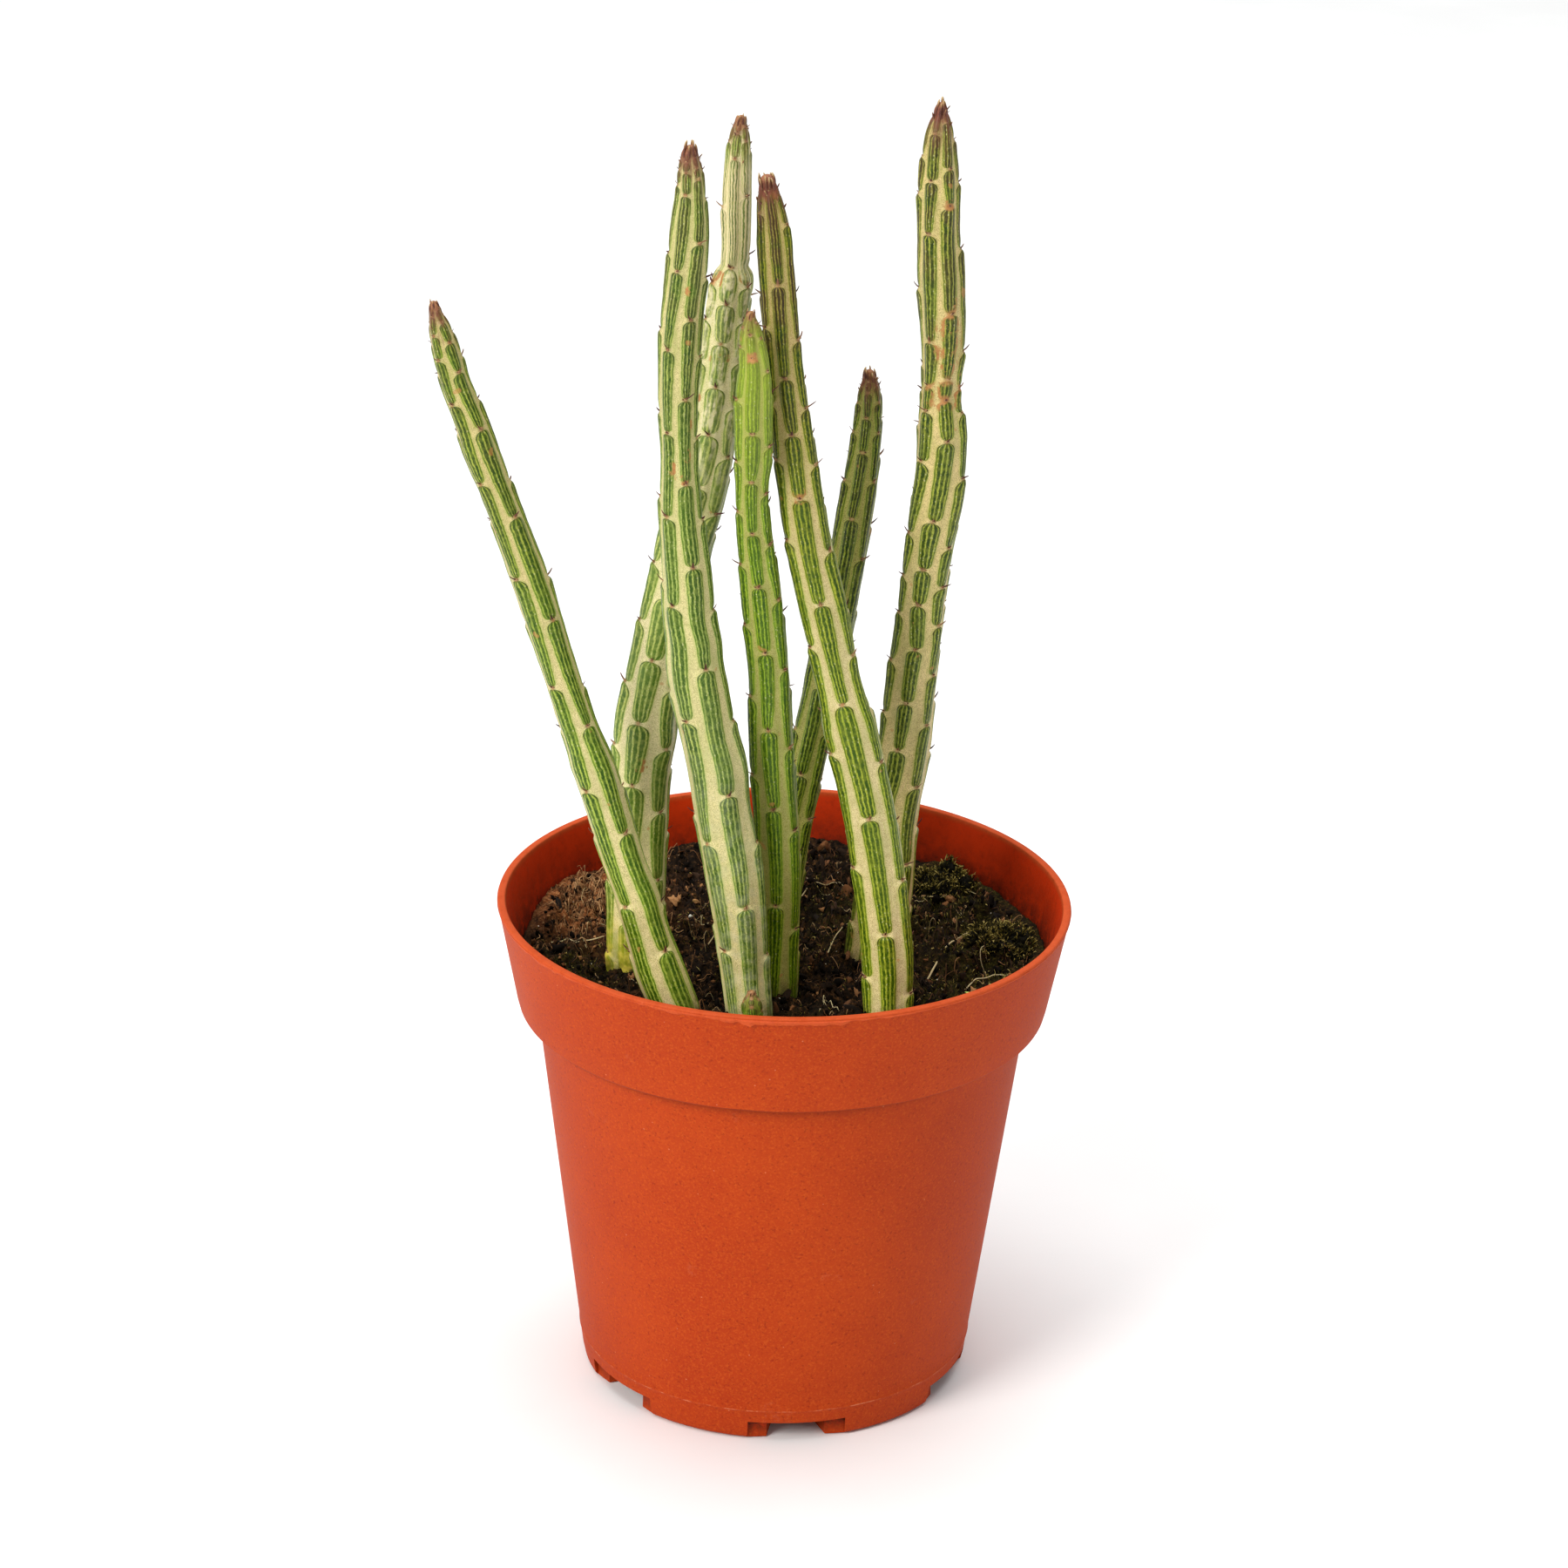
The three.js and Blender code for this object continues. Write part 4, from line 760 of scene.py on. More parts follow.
class Stem:
    SEG = 16                                             # segments in one column

    def __init__(self, name):
        self.name = name
        rows, gr = np.array(STEMS[name]), GROWTH[name]
        self.rows, self.K, self.phase = rows, gr["cols"], np.array(gr["phase"])
        self.ztip = rows[-1, 2]
        self.turn = np.array(gr["turn"], float)
        nodes = np.array(gr["nodes"], float)[::-1]       # rising z
        self.node_z, self.node_n = nodes, np.arange(len(nodes))[::-1].astype(float)
        self.rng = np.random.default_rng(sum(map(ord, name)))

    def centre(self, z):
        z = np.asarray(z, float)
        r = self.rows
        return np.stack([smooth_curve(z, r[:, 2], r[:, 0]), smooth_curve(z, r[:, 2], r[:, 1]), z], -1)

    def tangent(self, z):
        t = self.centre(np.minimum(np.asarray(z) + 0.6, self.ztip)) - self.centre(np.minimum(np.asarray(z) + 0.6, self.ztip) - 1.2)
        return t / np.linalg.norm(t, axis=-1, keepdims=True)

    def radius(self, z):
        z = np.asarray(z, float)
        r = self.rows
        out = pchip(np.minimum(z, r[-2, 2]), r[:, 2], r[:, 3])
        # a rounded end over the last station
        zl, rl = r[-2, 2], r[-2, 3]
        t = np.clip((z - zl) / (self.ztip - zl), 0, 1)
        return np.where(z > zl, rl * np.sqrt(np.maximum(1 - t * t, 0)), out)

    def frames(self, z):
        t = self.tangent(z)
        nx = np.array([1.0, 0, 0]) - t * t[..., :1]
        nx /= np.linalg.norm(nx, axis=-1, keepdims=True)
        return t, nx, np.cross(t, nx)

    def N(self, z):
        """Count of internodes from the tip, for the first column."""
        return pchip(np.clip(z, self.node_z[0], self.node_z[-1]), self.node_z, self.node_n) + np.where(z > self.node_z[-1], -(z - self.node_z[-1]) * 0.6, 0)

    def turn_at(self, z): return np.interp(z, self.turn[:, 0], self.turn[:, 1])

    def relief(self, z, k, x):
        """Height of the skin over the plain section, mm, at height z, column k, position x in the column (-.5 to .5)."""
        r = self.radius(z)
        v = self.N(z) + self.phase[k]
        fr = v - np.floor(v)
        L = np.clip(self.internode(z), 1.0, 26)
        dt, db = fr * L, (1 - fr) * L
        young = np.clip(1 - (self.ztip - z) / 60.0, 0, 1)
        rib = -(0.055 + 0.05 * young) * r * (0.5 - 0.5 * np.cos(2 * np.pi * x))
        B = np.minimum(0.13 * r, 0.52) * np.clip((self.ztip - z) / 6.0, 0, 1)
        # a swelling under each scar that runs out downward, and a small step above it
        sw = B * np.exp(-dt / 4.5) * np.clip(dt / 0.7, 0, 1) * np.exp(-(x / 0.30) ** 2)
        notch = -0.30 * B * np.exp(-(db / 0.9) ** 2) * np.exp(-(x / 0.2) ** 2)
        # flat-topped patch standing a little proud of the band
        patch = 0.10 * np.clip((0.36 - np.abs(x)) / 0.08, 0, 1) * np.clip(dt / 1.2, 0, 1) * np.clip(db / 1.0, 0, 1) * np.clip(r / 3, 0, 1)
        return rib + sw + notch + patch

    def internode(self, z):
        return 1.0 / np.maximum(np.abs((self.N(z + 0.5) - self.N(z - 0.5))), 0.03)

    def point(self, z, k, x, lift=0.0):
        """Point on the skin, with the outward and upward directions there."""
        z = np.asarray(z, float)
        t, nx, ny = self.frames(z)
        a = np.radians(-90 + self.turn_at(z) + (k + x) * 360.0 / self.K)
        o = nx * np.cos(a)[..., None] + ny * np.sin(a)[..., None]
        r = self.radius(z) + self.relief(z, k, x) + lift
        return self.centre(z) + o * r[..., None], o, t

    def scar_heights(self, k):
        """Heights of all leaf scars in column k."""
        out = []
        zs = np.linspace(66, self.ztip - 0.8, 2400)
        v = self.N(zs) + self.phase[k]
        f = np.floor(v)
        for i in np.nonzero(np.diff(f) != 0)[0]:
            out.append((zs[i] + zs[i + 1]) / 2)
        return out

    def build(self, mat, slot):
        K, m = self.K, self.SEG
        z0 = max(62.0, self.rows[0, 2] + 0.5)
        zs = [z0]
        while zs[-1] < self.ztip - 0.5:
            left = self.ztip - zs[-1]
            zs.append(zs[-1] + (0.45 if left > 8 else 0.32))
        zs += [self.ztip - 0.34, self.ztip - 0.2, self.ztip - 0.1, self.ztip - 0.03]
        zs = np.array(sorted(set(np.round(zs, 4))))
        zs = zs[zs < self.ztip]
        S = K * m
        c = np.arange(S) / m                              # column coordinate, borders at whole numbers
        k = np.floor(c).astype(int)
        x = c - k - 0.5
        Z, X, KK = np.repeat(zs[:, None], S, 1), np.repeat(x[None], len(zs), 0), np.repeat(k[None], len(zs), 0)
        t, nx, ny = self.frames(zs)
        ang = np.radians(-90 + self.turn_at(zs)[:, None] + (c[None] - 0.5) * 360.0 / K)
        o = nx[:, None] * np.cos(ang)[..., None] + ny[:, None] * np.sin(ang)[..., None]
        # relief is worked out for each column; its terms fade out towards the column borders, so that it is nearly even
        # there
        rel = self.relief(Z, KK, X)
        r = self.radius(zs)[:, None] + rel
        C = self.centre(zs)
        P = C[:, None] + o * r[..., None]
        s0 = self.rng.integers(1000)
        n = (fbm(P[..., 0] / 7, P[..., 1] / 7, P[..., 2] / 9, 3, 0.5, s0) * 0.10 + fbm(P[..., 0] / 1.3, P[..., 1] / 1.3, P[..., 2] / 2.2, 2, 0.5, s0 + 9) * 0.035)
        P = P + o * (n * np.clip(self.radius(zs) / 3, 0, 1)[:, None])[..., None]
        nz = len(zs)
        verts = P.reshape(-1, 3)
        verts = np.concatenate([verts, [C[0]], [self.centre(np.array([self.ztip]))[0]]])
        faces, uvs = [], []
        nv = self.N(zs)
        per = self.phase
        for j in range(nz - 1):
            a, b = j * S, (j + 1) * S
            for i in range(S):
                i2 = (i + 1) % S
                faces.append((a + i, a + i2, b + i2, b + i))
                kk = i // m
                u0, u1 = i / m, (i + 1) / m
                if i % m == m - 1:
                    u1 -= 1e-5
                va, vb = nv[j] + per[kk] + 10, nv[j + 1] + per[kk] + 10
                uvs += [u0, va, u1, va, u1, vb, u0, vb]
        low, top = len(verts) - 2, len(verts) - 1
        for i in range(S):
            i2 = (i + 1) % S
            faces.append((low, i2, i))
            uvs += [i / m, nv[0] + 10, (i + 1) / m, nv[0] + 10, i / m, nv[0] + 10]
            b = (nz - 1) * S
            faces.append((b + i, b + i2, top))
            kk = i // m
            uvs += [i / m, nv[-1] + per[kk] + 10, (i + 1) / m - 1e-5, nv[-1] + per[kk] + 10, i / m, nv[-1] + per[kk] + 10]
        ob = new_object(self.name + "_fine", verts, [list(f) for f in faces], mat)
        me = ob.data
        uv = me.uv_layers.new(name="pattern")
        uv.data.foreach_set("uv", np.array(uvs, dtype=np.float32))
        along = np.concatenate([np.repeat(zs - 58.0, S), [zs[0] - 58.0, self.ztip - 58.0]])
        rr = self.radius(zs)
        add_float(me, "along", along)
        add_float(me, "internode", np.concatenate([np.repeat(np.clip(self.internode(zs), 0.8, 26), S), [10, 1.0]]))
        add_float(me, "colwidth", np.concatenate([np.repeat(2 * np.pi * np.maximum(rr, 0.4) / K, S), [2, 0.4]]))
        add_float(me, "tipdist", np.concatenate([np.repeat(self.ztip - zs, S), [self.ztip - zs[0], 0]]))
        add_float(me, "cork", self.cork(verts))
        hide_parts(self.name)
        return ob

    def cork(self, P):
        """Where old corky scars show: patches on the skin given as point and size."""
        spots = {
            "stem_right": [(188.0, 0, 0.0, 3.4, 2.0), (197.5, 0, -0.05, 2.2, 4.6), (204.5, 0, 0.2, 0.8, 1.0), (222.4, 0, 0.0, 0.9, 0.8), (146.5, 0, -0.1, 0.8, 0.8)],
            "stem_front_left": [(189.0, 0, 0.30, 0.7, 0.8), (183.5, 0, 0.15, 0.6, 0.8), (179.5, 0, -0.1, 0.7, 0.7), (181.5, 0, -0.75, 0.7, 0.9), (213, 0, -0.3, 0.5, 0.6)],
            "stem_front_right": [(227.0, 0, 0.1, 1.2, 1.2), (174.5, 0, 0.0, 1.0, 1.2)],
            "stem_back_left": [(209.5, 5, 0.3, 1.6, 1.0), (210.2, 1, 0.0, 1.2, 0.8), (205, 5, 0.0, 1.0, 1.2), (196, 0, 0.2, 0.9, 0.9), (188, 5, 0.1, 0.9, 0.9), (120, 0, 0.2, 1.2, 1.0)],
            "stem_centre": [(201, 0, 0.0, 0.9, 0.9)],
        }.get(self.name, [])
        w = np.zeros(len(P))
        for z, k, x, sx, sz in spots:
            p, o, t = self.point(np.array([float(z)]), k, x)
            d = P - p[0]
            al = d @ t[0]
            side = np.linalg.norm(d - al[:, None] * t[0], axis=1)
            w = np.maximum(w, np.exp(-(side / sx) ** 2 - (al / sz) ** 2))
        return np.clip(w * 1.6, 0, 1)


def curve_from(P0, d0, d1, length, n):
    """Points that leave P0 along d0 and end along d1. P0, d0, d1: (m, 3); length: (m,)."""
    t = np.linspace(0, 1, n)[None, :, None]
    d = d0[:, None] * (1 - t) + d1[:, None] * t
    d /= np.linalg.norm(d, axis=2, keepdims=True)
    step = (length / (n - 1))[:, None, None]
    return P0[:, None] + np.concatenate([np.zeros((len(P0), 1, 3)), np.cumsum(d[:, 1:] * step, axis=1)], 1)


def leaf_scales(stem, mat):
    """The dry leaf on each scar: a corky pad, a hooked withered leaf and two small spikes beside it."""
    rng = np.random.default_rng(sum(map(ord, stem.name)) + 77)
    b = Batch()
    z, k = [], []
    for kk in range(stem.K):
        for h in stem.scar_heights(kk):
            if h < 77.5 or stem.ztip - h < (4.5 if stem.name == "shoot_new" else 1.6):
                continue
            z.append(h)
            k.append(kk)
    z, k = np.array(z), np.array(k)
    P, o, t = stem.point(z, k, np.zeros(len(z)))
    side = np.cross(t, o)
    m = len(z)
    size = np.clip((stem.ztip - z) / 14.0, 0.45, 1.0) * rng.uniform(0.8, 1.15, m)
    # corky pads
    R = np.stack([side, t, o], 2)
    b.lumps(P + o * 0.02, np.stack([0.32 * size, 0.24 * size, 0.17 * size], 1) * rng.uniform(0.7, 1.15, (m, 1)), rng, rng.uniform(0.42, 0.85, m), 0.26, 2, R=R)
    # withered leaf: tan where it leaves the pad, purple-brown further out
    keep = rng.random(m) < 0.9
    ln = rng.uniform(1.15, 2.05, m) * size
    ln[rng.random(m) < 0.30] *= 0.55
    up = rng.uniform(0.3, 1.3, m)[:, None]
    lean = rng.normal(0, 0.28, m)[:, None]
    d0 = o * 0.75 + t * 0.35 + side * lean
    d1 = o * 0.50 + t * up + side * (lean + rng.normal(0, 0.4, m)[:, None])
    n = 7
    prof = np.array([1.0, 1.0, 0.95, 0.86, 0.74, 0.58, 0.30])
    fade = np.array([0.35, 0.28, 0.10, 0.0, -0.05, -0.05, 0.1])
    C = curve_from(P - o * 0.08, d0, d1, ln, n)
    rad = 0.215 * size[:, None] * prof[None]
    tone = rng.uniform(0.0, 0.42, m)[:, None] + fade[None]
    b.tubes(C[keep], rad[keep], 6, tone[keep], flat=rng.uniform(0.45, 0.8, m)[keep])
    # spikes beside it
    for sgn in (-1, 1):
        kp = rng.random(m) < 0.42
        ln = rng.uniform(0.25, 0.7, m) * size
        d0 = o * 0.7 + side * sgn * 0.6 + t * 0.2
        d1 = o * 0.35 + side * sgn * rng.uniform(0.1, 0.9, m)[:, None] + t * rng.uniform(0.2, 1.0, m)[:, None]
        C = curve_from(P - o * 0.06 + side * sgn * 0.24 * size[:, None], d0, d1, ln, 5)
        rad = 0.11 * size[:, None] * np.array([1.0, 0.95, 0.85, 0.68, 0.34])[None]
        tone = rng.uniform(0.0, 0.5, m)[:, None] + np.array([0.3, 0.15, 0.0, 0.0, 0.1])[None]
        b.tubes(C[kp], rad[kp], 5, tone[kp])
    # the growing tip: broad young scales pressed round it, with small flared ones below
    bud, big, flare, small, spread = {
        "stem_left_leaning": (4, 0.62, 0.00, 3, 4.0), "stem_front_right": (10, 1.0, 0.34, 10, 6.0), "stem_right": (6, 0.98, 0.0, 7, 7.0),
        "stem_front_left": (6, 0.95, 0.10, 4, 6.0), "stem_back_left": (4, 0.70, 0.05, 6, 7.0), "stem_centre": (4, 0.50, 0.05, 3, 5.0),
        "stem_back_right": (6, 0.85, 0.16, 5, 6.0), "shoot_new": (4, 0.34, 0.25, 0, 1.0)}[stem.name]

    def ring_of(cnt, zt, start):
        kk = (start + np.arange(cnt) * 2.39996 / (2 * np.pi) * stem.K) % stem.K
        ki = np.floor(kk).astype(int)
        return stem.point(zt, ki, kk - ki - 0.5)

    zt = stem.ztip - 2.3 * big * rng.uniform(0.75, 1.15, bud)
    P, o, t = ring_of(bud, zt, 0.3)
    side = np.cross(t, o)
    ln = 2.55 * big * rng.uniform(0.72, 1.1, bud)
    d0 = t + o * (flare * 0.5 - 0.02)
    d1 = t + o * (flare * rng.uniform(-0.6, 1.3, bud) - 0.30)[:, None] + side * rng.normal(0, 0.06 + 0.35 * flare, bud)[:, None]
    C = curve_from(P - o * 0.22 * big, d0, d1, ln, 9)
    rad = 0.52 * big * rng.uniform(0.85, 1.1, bud)[:, None] * np.array([0.9, 1.0, 1.0, 1.0, 0.98, 0.93, 0.85, 0.70, 0.38])[None] * (1 - 0.42 * flare)
    C[..., 2] = np.minimum(C[..., 2], CAD_BOX[1][2] / MM + 0.7)
    tone = (0.06 + 0.25 * flare) + rng.uniform(0.0, 0.14, bud)[:, None] + np.array([0.10, 0.05, 0.0, 0.0, 0.06, 0.18, 0.36, 0.55, 0.72])[None]
    b.tubes(C, rad, 9, tone, flat=rng.uniform(0.42, 0.55, bud))
    if small:
        zt = stem.ztip - 1.5 - np.sort(rng.uniform(0, 1, small)) * spread
        P, o, t = ring_of(small, zt, 1.7)
        side = np.cross(t, o)
        ln = rng.uniform(0.7, 1.35, small) * min(1.0, big + 0.1)
        d0 = t * 0.8 + o * 0.5
        d1 = t * 0.9 + o * rng.uniform(0.0, 0.9, small)[:, None] + side * rng.normal(0, 0.35, small)[:, None]
        C = curve_from(P - o * 0.12, d0, d1, ln, 7)
        rad = 0.24 * min(1.0, big + 0.1) * rng.uniform(0.8, 1.1, small)[:, None] * np.array([1.0, 1.0, 1.0, 0.95, 0.86, 0.70, 0.36])[None]
        tone = rng.uniform(0.15, 0.45, small)[:, None] + np.array([0.35, 0.2, 0.05, 0.0, 0.05, 0.15, 0.3])[None]
        b.tubes(C, rad, 7, tone, flat=rng.uniform(0.5, 0.7, small))
    ob = b.build(stem.name + "_leaf_scales", mat)
    return ob


# ------------------------------------------------------------------ soil
def soil_base(x, y):
    rr = np.hypot(x, y) / 48
    z = SOIL_LEVEL + SOIL_SLOPE * y + SOIL_DISH * rr * rr
    for mx, my, h, w in SOIL_MOUNDS:
        z = z + h * np.exp(-((x - mx) ** 2 + (y - my) ** 2) / (w * w))
    return z + 0.35 * np.sin(x * 0.31 + 1.1) * np.cos(y * 0.27 - 0.6)


def soil_height(x, y):
    x, y = np.asarray(x, float), np.asarray(y, float)
    n1 = fbm(x / 7.0, y / 7.0, 0 * x, 3, 0.5, 11)
    n2 = fbm(x / 2.6, y / 2.6, 0 * x + 3, 3, 0.55, 23)
    n3 = fbm(x / 0.9, y / 0.9, 0 * x + 7, 2, 0.6, 31)
    crumb = np.abs(vnoise(x / 3.2, y / 3.2, 0 * x + 1.7, 41))
    rim = np.clip((48.5 - np.hypot(x, y)) / 4.0, 0.3, 1)
    right = np.clip((x + 0.2 * y - 6.0) / 16.0, 0, 1)
    mnd = np.exp(-((x + 37) ** 2 + (y - 20) ** 2) / 110.0)
    clod = np.clip(fbm(x / 5.5, y / 5.5, 0 * x + 9, 2, 0.5, 57) * 1.6, -1, 1)
    return soil_base(x, y) + (mnd * (fbm(x / 2.3, y / 2.3, 0 * x + 13, 3, 0.6, 77) * 2.6 - 0.9) + n1 * 1.1 + n2 * 1.25 + n3 * 0.5 - crumb * 1.3 + 0.1 + right * (clod * 1.6 - 0.1)) * rim


def build_soil():
    n = 250
    u = np.linspace(-1, 1, n + 1)
    a, b = np.meshgrid(u, u, indexing="ij")
    # square to disc, keeping the cells even
    big = np.abs(a) > np.abs(b)
    rr = np.where(big, a, b)
    with np.errstate(divide="ignore", invalid="ignore"):
        ph = np.where(big, (math.pi / 4) * np.where(a == 0, 0, b / np.where(a == 0, 1, a)), math.pi / 2 - (math.pi / 4) * np.where(b == 0, 0, a / np.where(b == 0, 1, b)))
    cx, cy = rr * np.cos(ph), rr * np.sin(ph)
    f = np.hypot(cx, cy)
    th = np.arctan2(cy, cx)
    ze = soil_height(47.8 * np.cos(th), 47.8 * np.sin(th))
    R = collar_in(np.clip(ze, SHELF_Z, 92)) - 0.12
    x, y = cx * R, cy * R
    z = soil_height(x, y)
    edge = f > 0.9999
    z = np.where(edge, np.clip(soil_height(47.8 * np.cos(th), 47.8 * np.sin(th)), SHELF_Z + 0.6, 92), z)
    verts = np.stack([x, y, z], -1).reshape(-1, 3)
    idx = np.arange((n + 1) ** 2).reshape(n + 1, n + 1)
    faces = np.stack([idx[:-1, :-1], idx[1:, :-1], idx[1:, 1:], idx[:-1, 1:]], -1).reshape(-1, 4).tolist()
    loop = list(idx[:, 0]) + list(idx[-1, 1:]) + list(idx[-2::-1, -1]) + list(idx[0, -2:0:-1])
    ang = np.arctan2(verts[loop, 1], verts[loop, 0])
    prev = loop
    for r, zz in ((collar_in(SHELF_Z) - 0.3, SHELF_Z + 0.35), (body_in(SHELF_Z) - 0.3, SHELF_Z + 0.35), (body_in(SOIL_FLOOR_Z) - 0.3, SOIL_FLOOR_Z)):
        ring = np.stack([r * np.cos(ang), r * np.sin(ang), np.full(len(ang), zz)], -1)
        start = len(verts)
        verts = np.concatenate([verts, ring])
        cur = list(range(start, start + len(ang)))
        for i in range(len(ang)):
            j = (i + 1) % len(ang)
            faces.append([prev[i], cur[i], cur[j], prev[j]])
        prev = cur
    verts = np.concatenate([verts, [[0, 0, SOIL_FLOOR_Z]]])
    for i in range(len(prev)):
        faces.append([prev[i], len(verts) - 1, prev[(i + 1) % len(prev)]])
    ob = new_object("potting_soil_fine", verts, faces, soil_material())
    outward(ob)
    P = verts
    mound = np.exp(-((P[:, 0] + 37) ** 2 + (P[:, 1] - 20) ** 2) / 90.0)
    add_float(ob.data, "mound", np.clip(mound * 1.5, 0, 1))
    green = np.zeros(len(P))
    for cxm, cym, w in ((41, 9, 13), (33, 27, 13), (18, 18, 11), (8, -29, 9), (32, -12, 11), (38, -2, 10), (-24, -26, 9), (-38, -6, 8)):
        green = np.maximum(green, np.exp(-((P[:, 0] - cxm) ** 2 + (P[:, 1] - cym) ** 2) / w ** 2))
    add_float(ob.data, "green", np.clip(green * 1.2, 0, 1))
    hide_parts("potting_soil")
    return ob


def scatter(rng, n, stems, clear=0.4, centre=None, spread=None, rmax=47.0):
    """Points on the soil, clear of the stems and the wall."""
    out = np.zeros((0, 2))
    while len(out) < n:
        if centre is None:
            a, r = rng.uniform(0, 2 * np.pi, n * 2), rmax * np.sqrt(rng.uniform(0, 1, n * 2))
            p = np.stack([r * np.cos(a), r * np.sin(a)], -1)
        else:
            p = np.array(centre) + rng.normal(0, 1, (n * 2, 2)) * spread
        ok = np.hypot(p[:, 0], p[:, 1]) < rmax
        for s in stems:
            c = s.centre(np.array([79.5]))[0]
            ok &= np.hypot(p[:, 0] - c[0], p[:, 1] - c[1]) > s.radius(np.array([79.5]))[0] + clear
        out = np.concatenate([out, p[ok]])
    return out[:n]


def fibres(batch, rng, xy, length, radius, lift, tone, curl=1.0, n=8, sides=4, sink=0.05):
    """Threads that wander over the soil."""
    m = len(xy)
    head = rng.uniform(0, 2 * np.pi, m)
    bend = rng.normal(0, 1.3 * curl, m)
    bend2 = rng.normal(0, 1.6 * curl, m)
    t = np.linspace(0, 1, n)[None]
    ang = head[:, None] + bend[:, None] * t + bend2[:, None] * np.sin(t * np.pi) * 0.6
    st = (np.asarray(length) / (n - 1))[:, None]
    dx, dy = np.cos(ang) * st, np.sin(ang) * st
    X = xy[:, :1] + np.concatenate([np.zeros((m, 1)), np.cumsum(dx[:, 1:], 1)], 1)
    Y = xy[:, 1:] + np.concatenate([np.zeros((m, 1)), np.cumsum(dy[:, 1:], 1)], 1)
    rad = np.hypot(X, Y)
    k = np.minimum(1, 48.0 / np.maximum(rad, 1e-6))
    X, Y = X * k, Y * k
    Z = soil_height(X, Y) - sink + np.asarray(lift)[:, None] * np.sin(np.pi * np.clip(t * rng.uniform(0.6, 1.1, m)[:, None], 0, 1)) + rng.normal(0, 0.05, X.shape)
    R = np.asarray(radius)[:, None] * np.concatenate([np.full(n - 2, 1.0), [0.7, 0.3]])[None]
    batch.tubes(np.stack([X, Y, Z], -1), R, sides, tone)


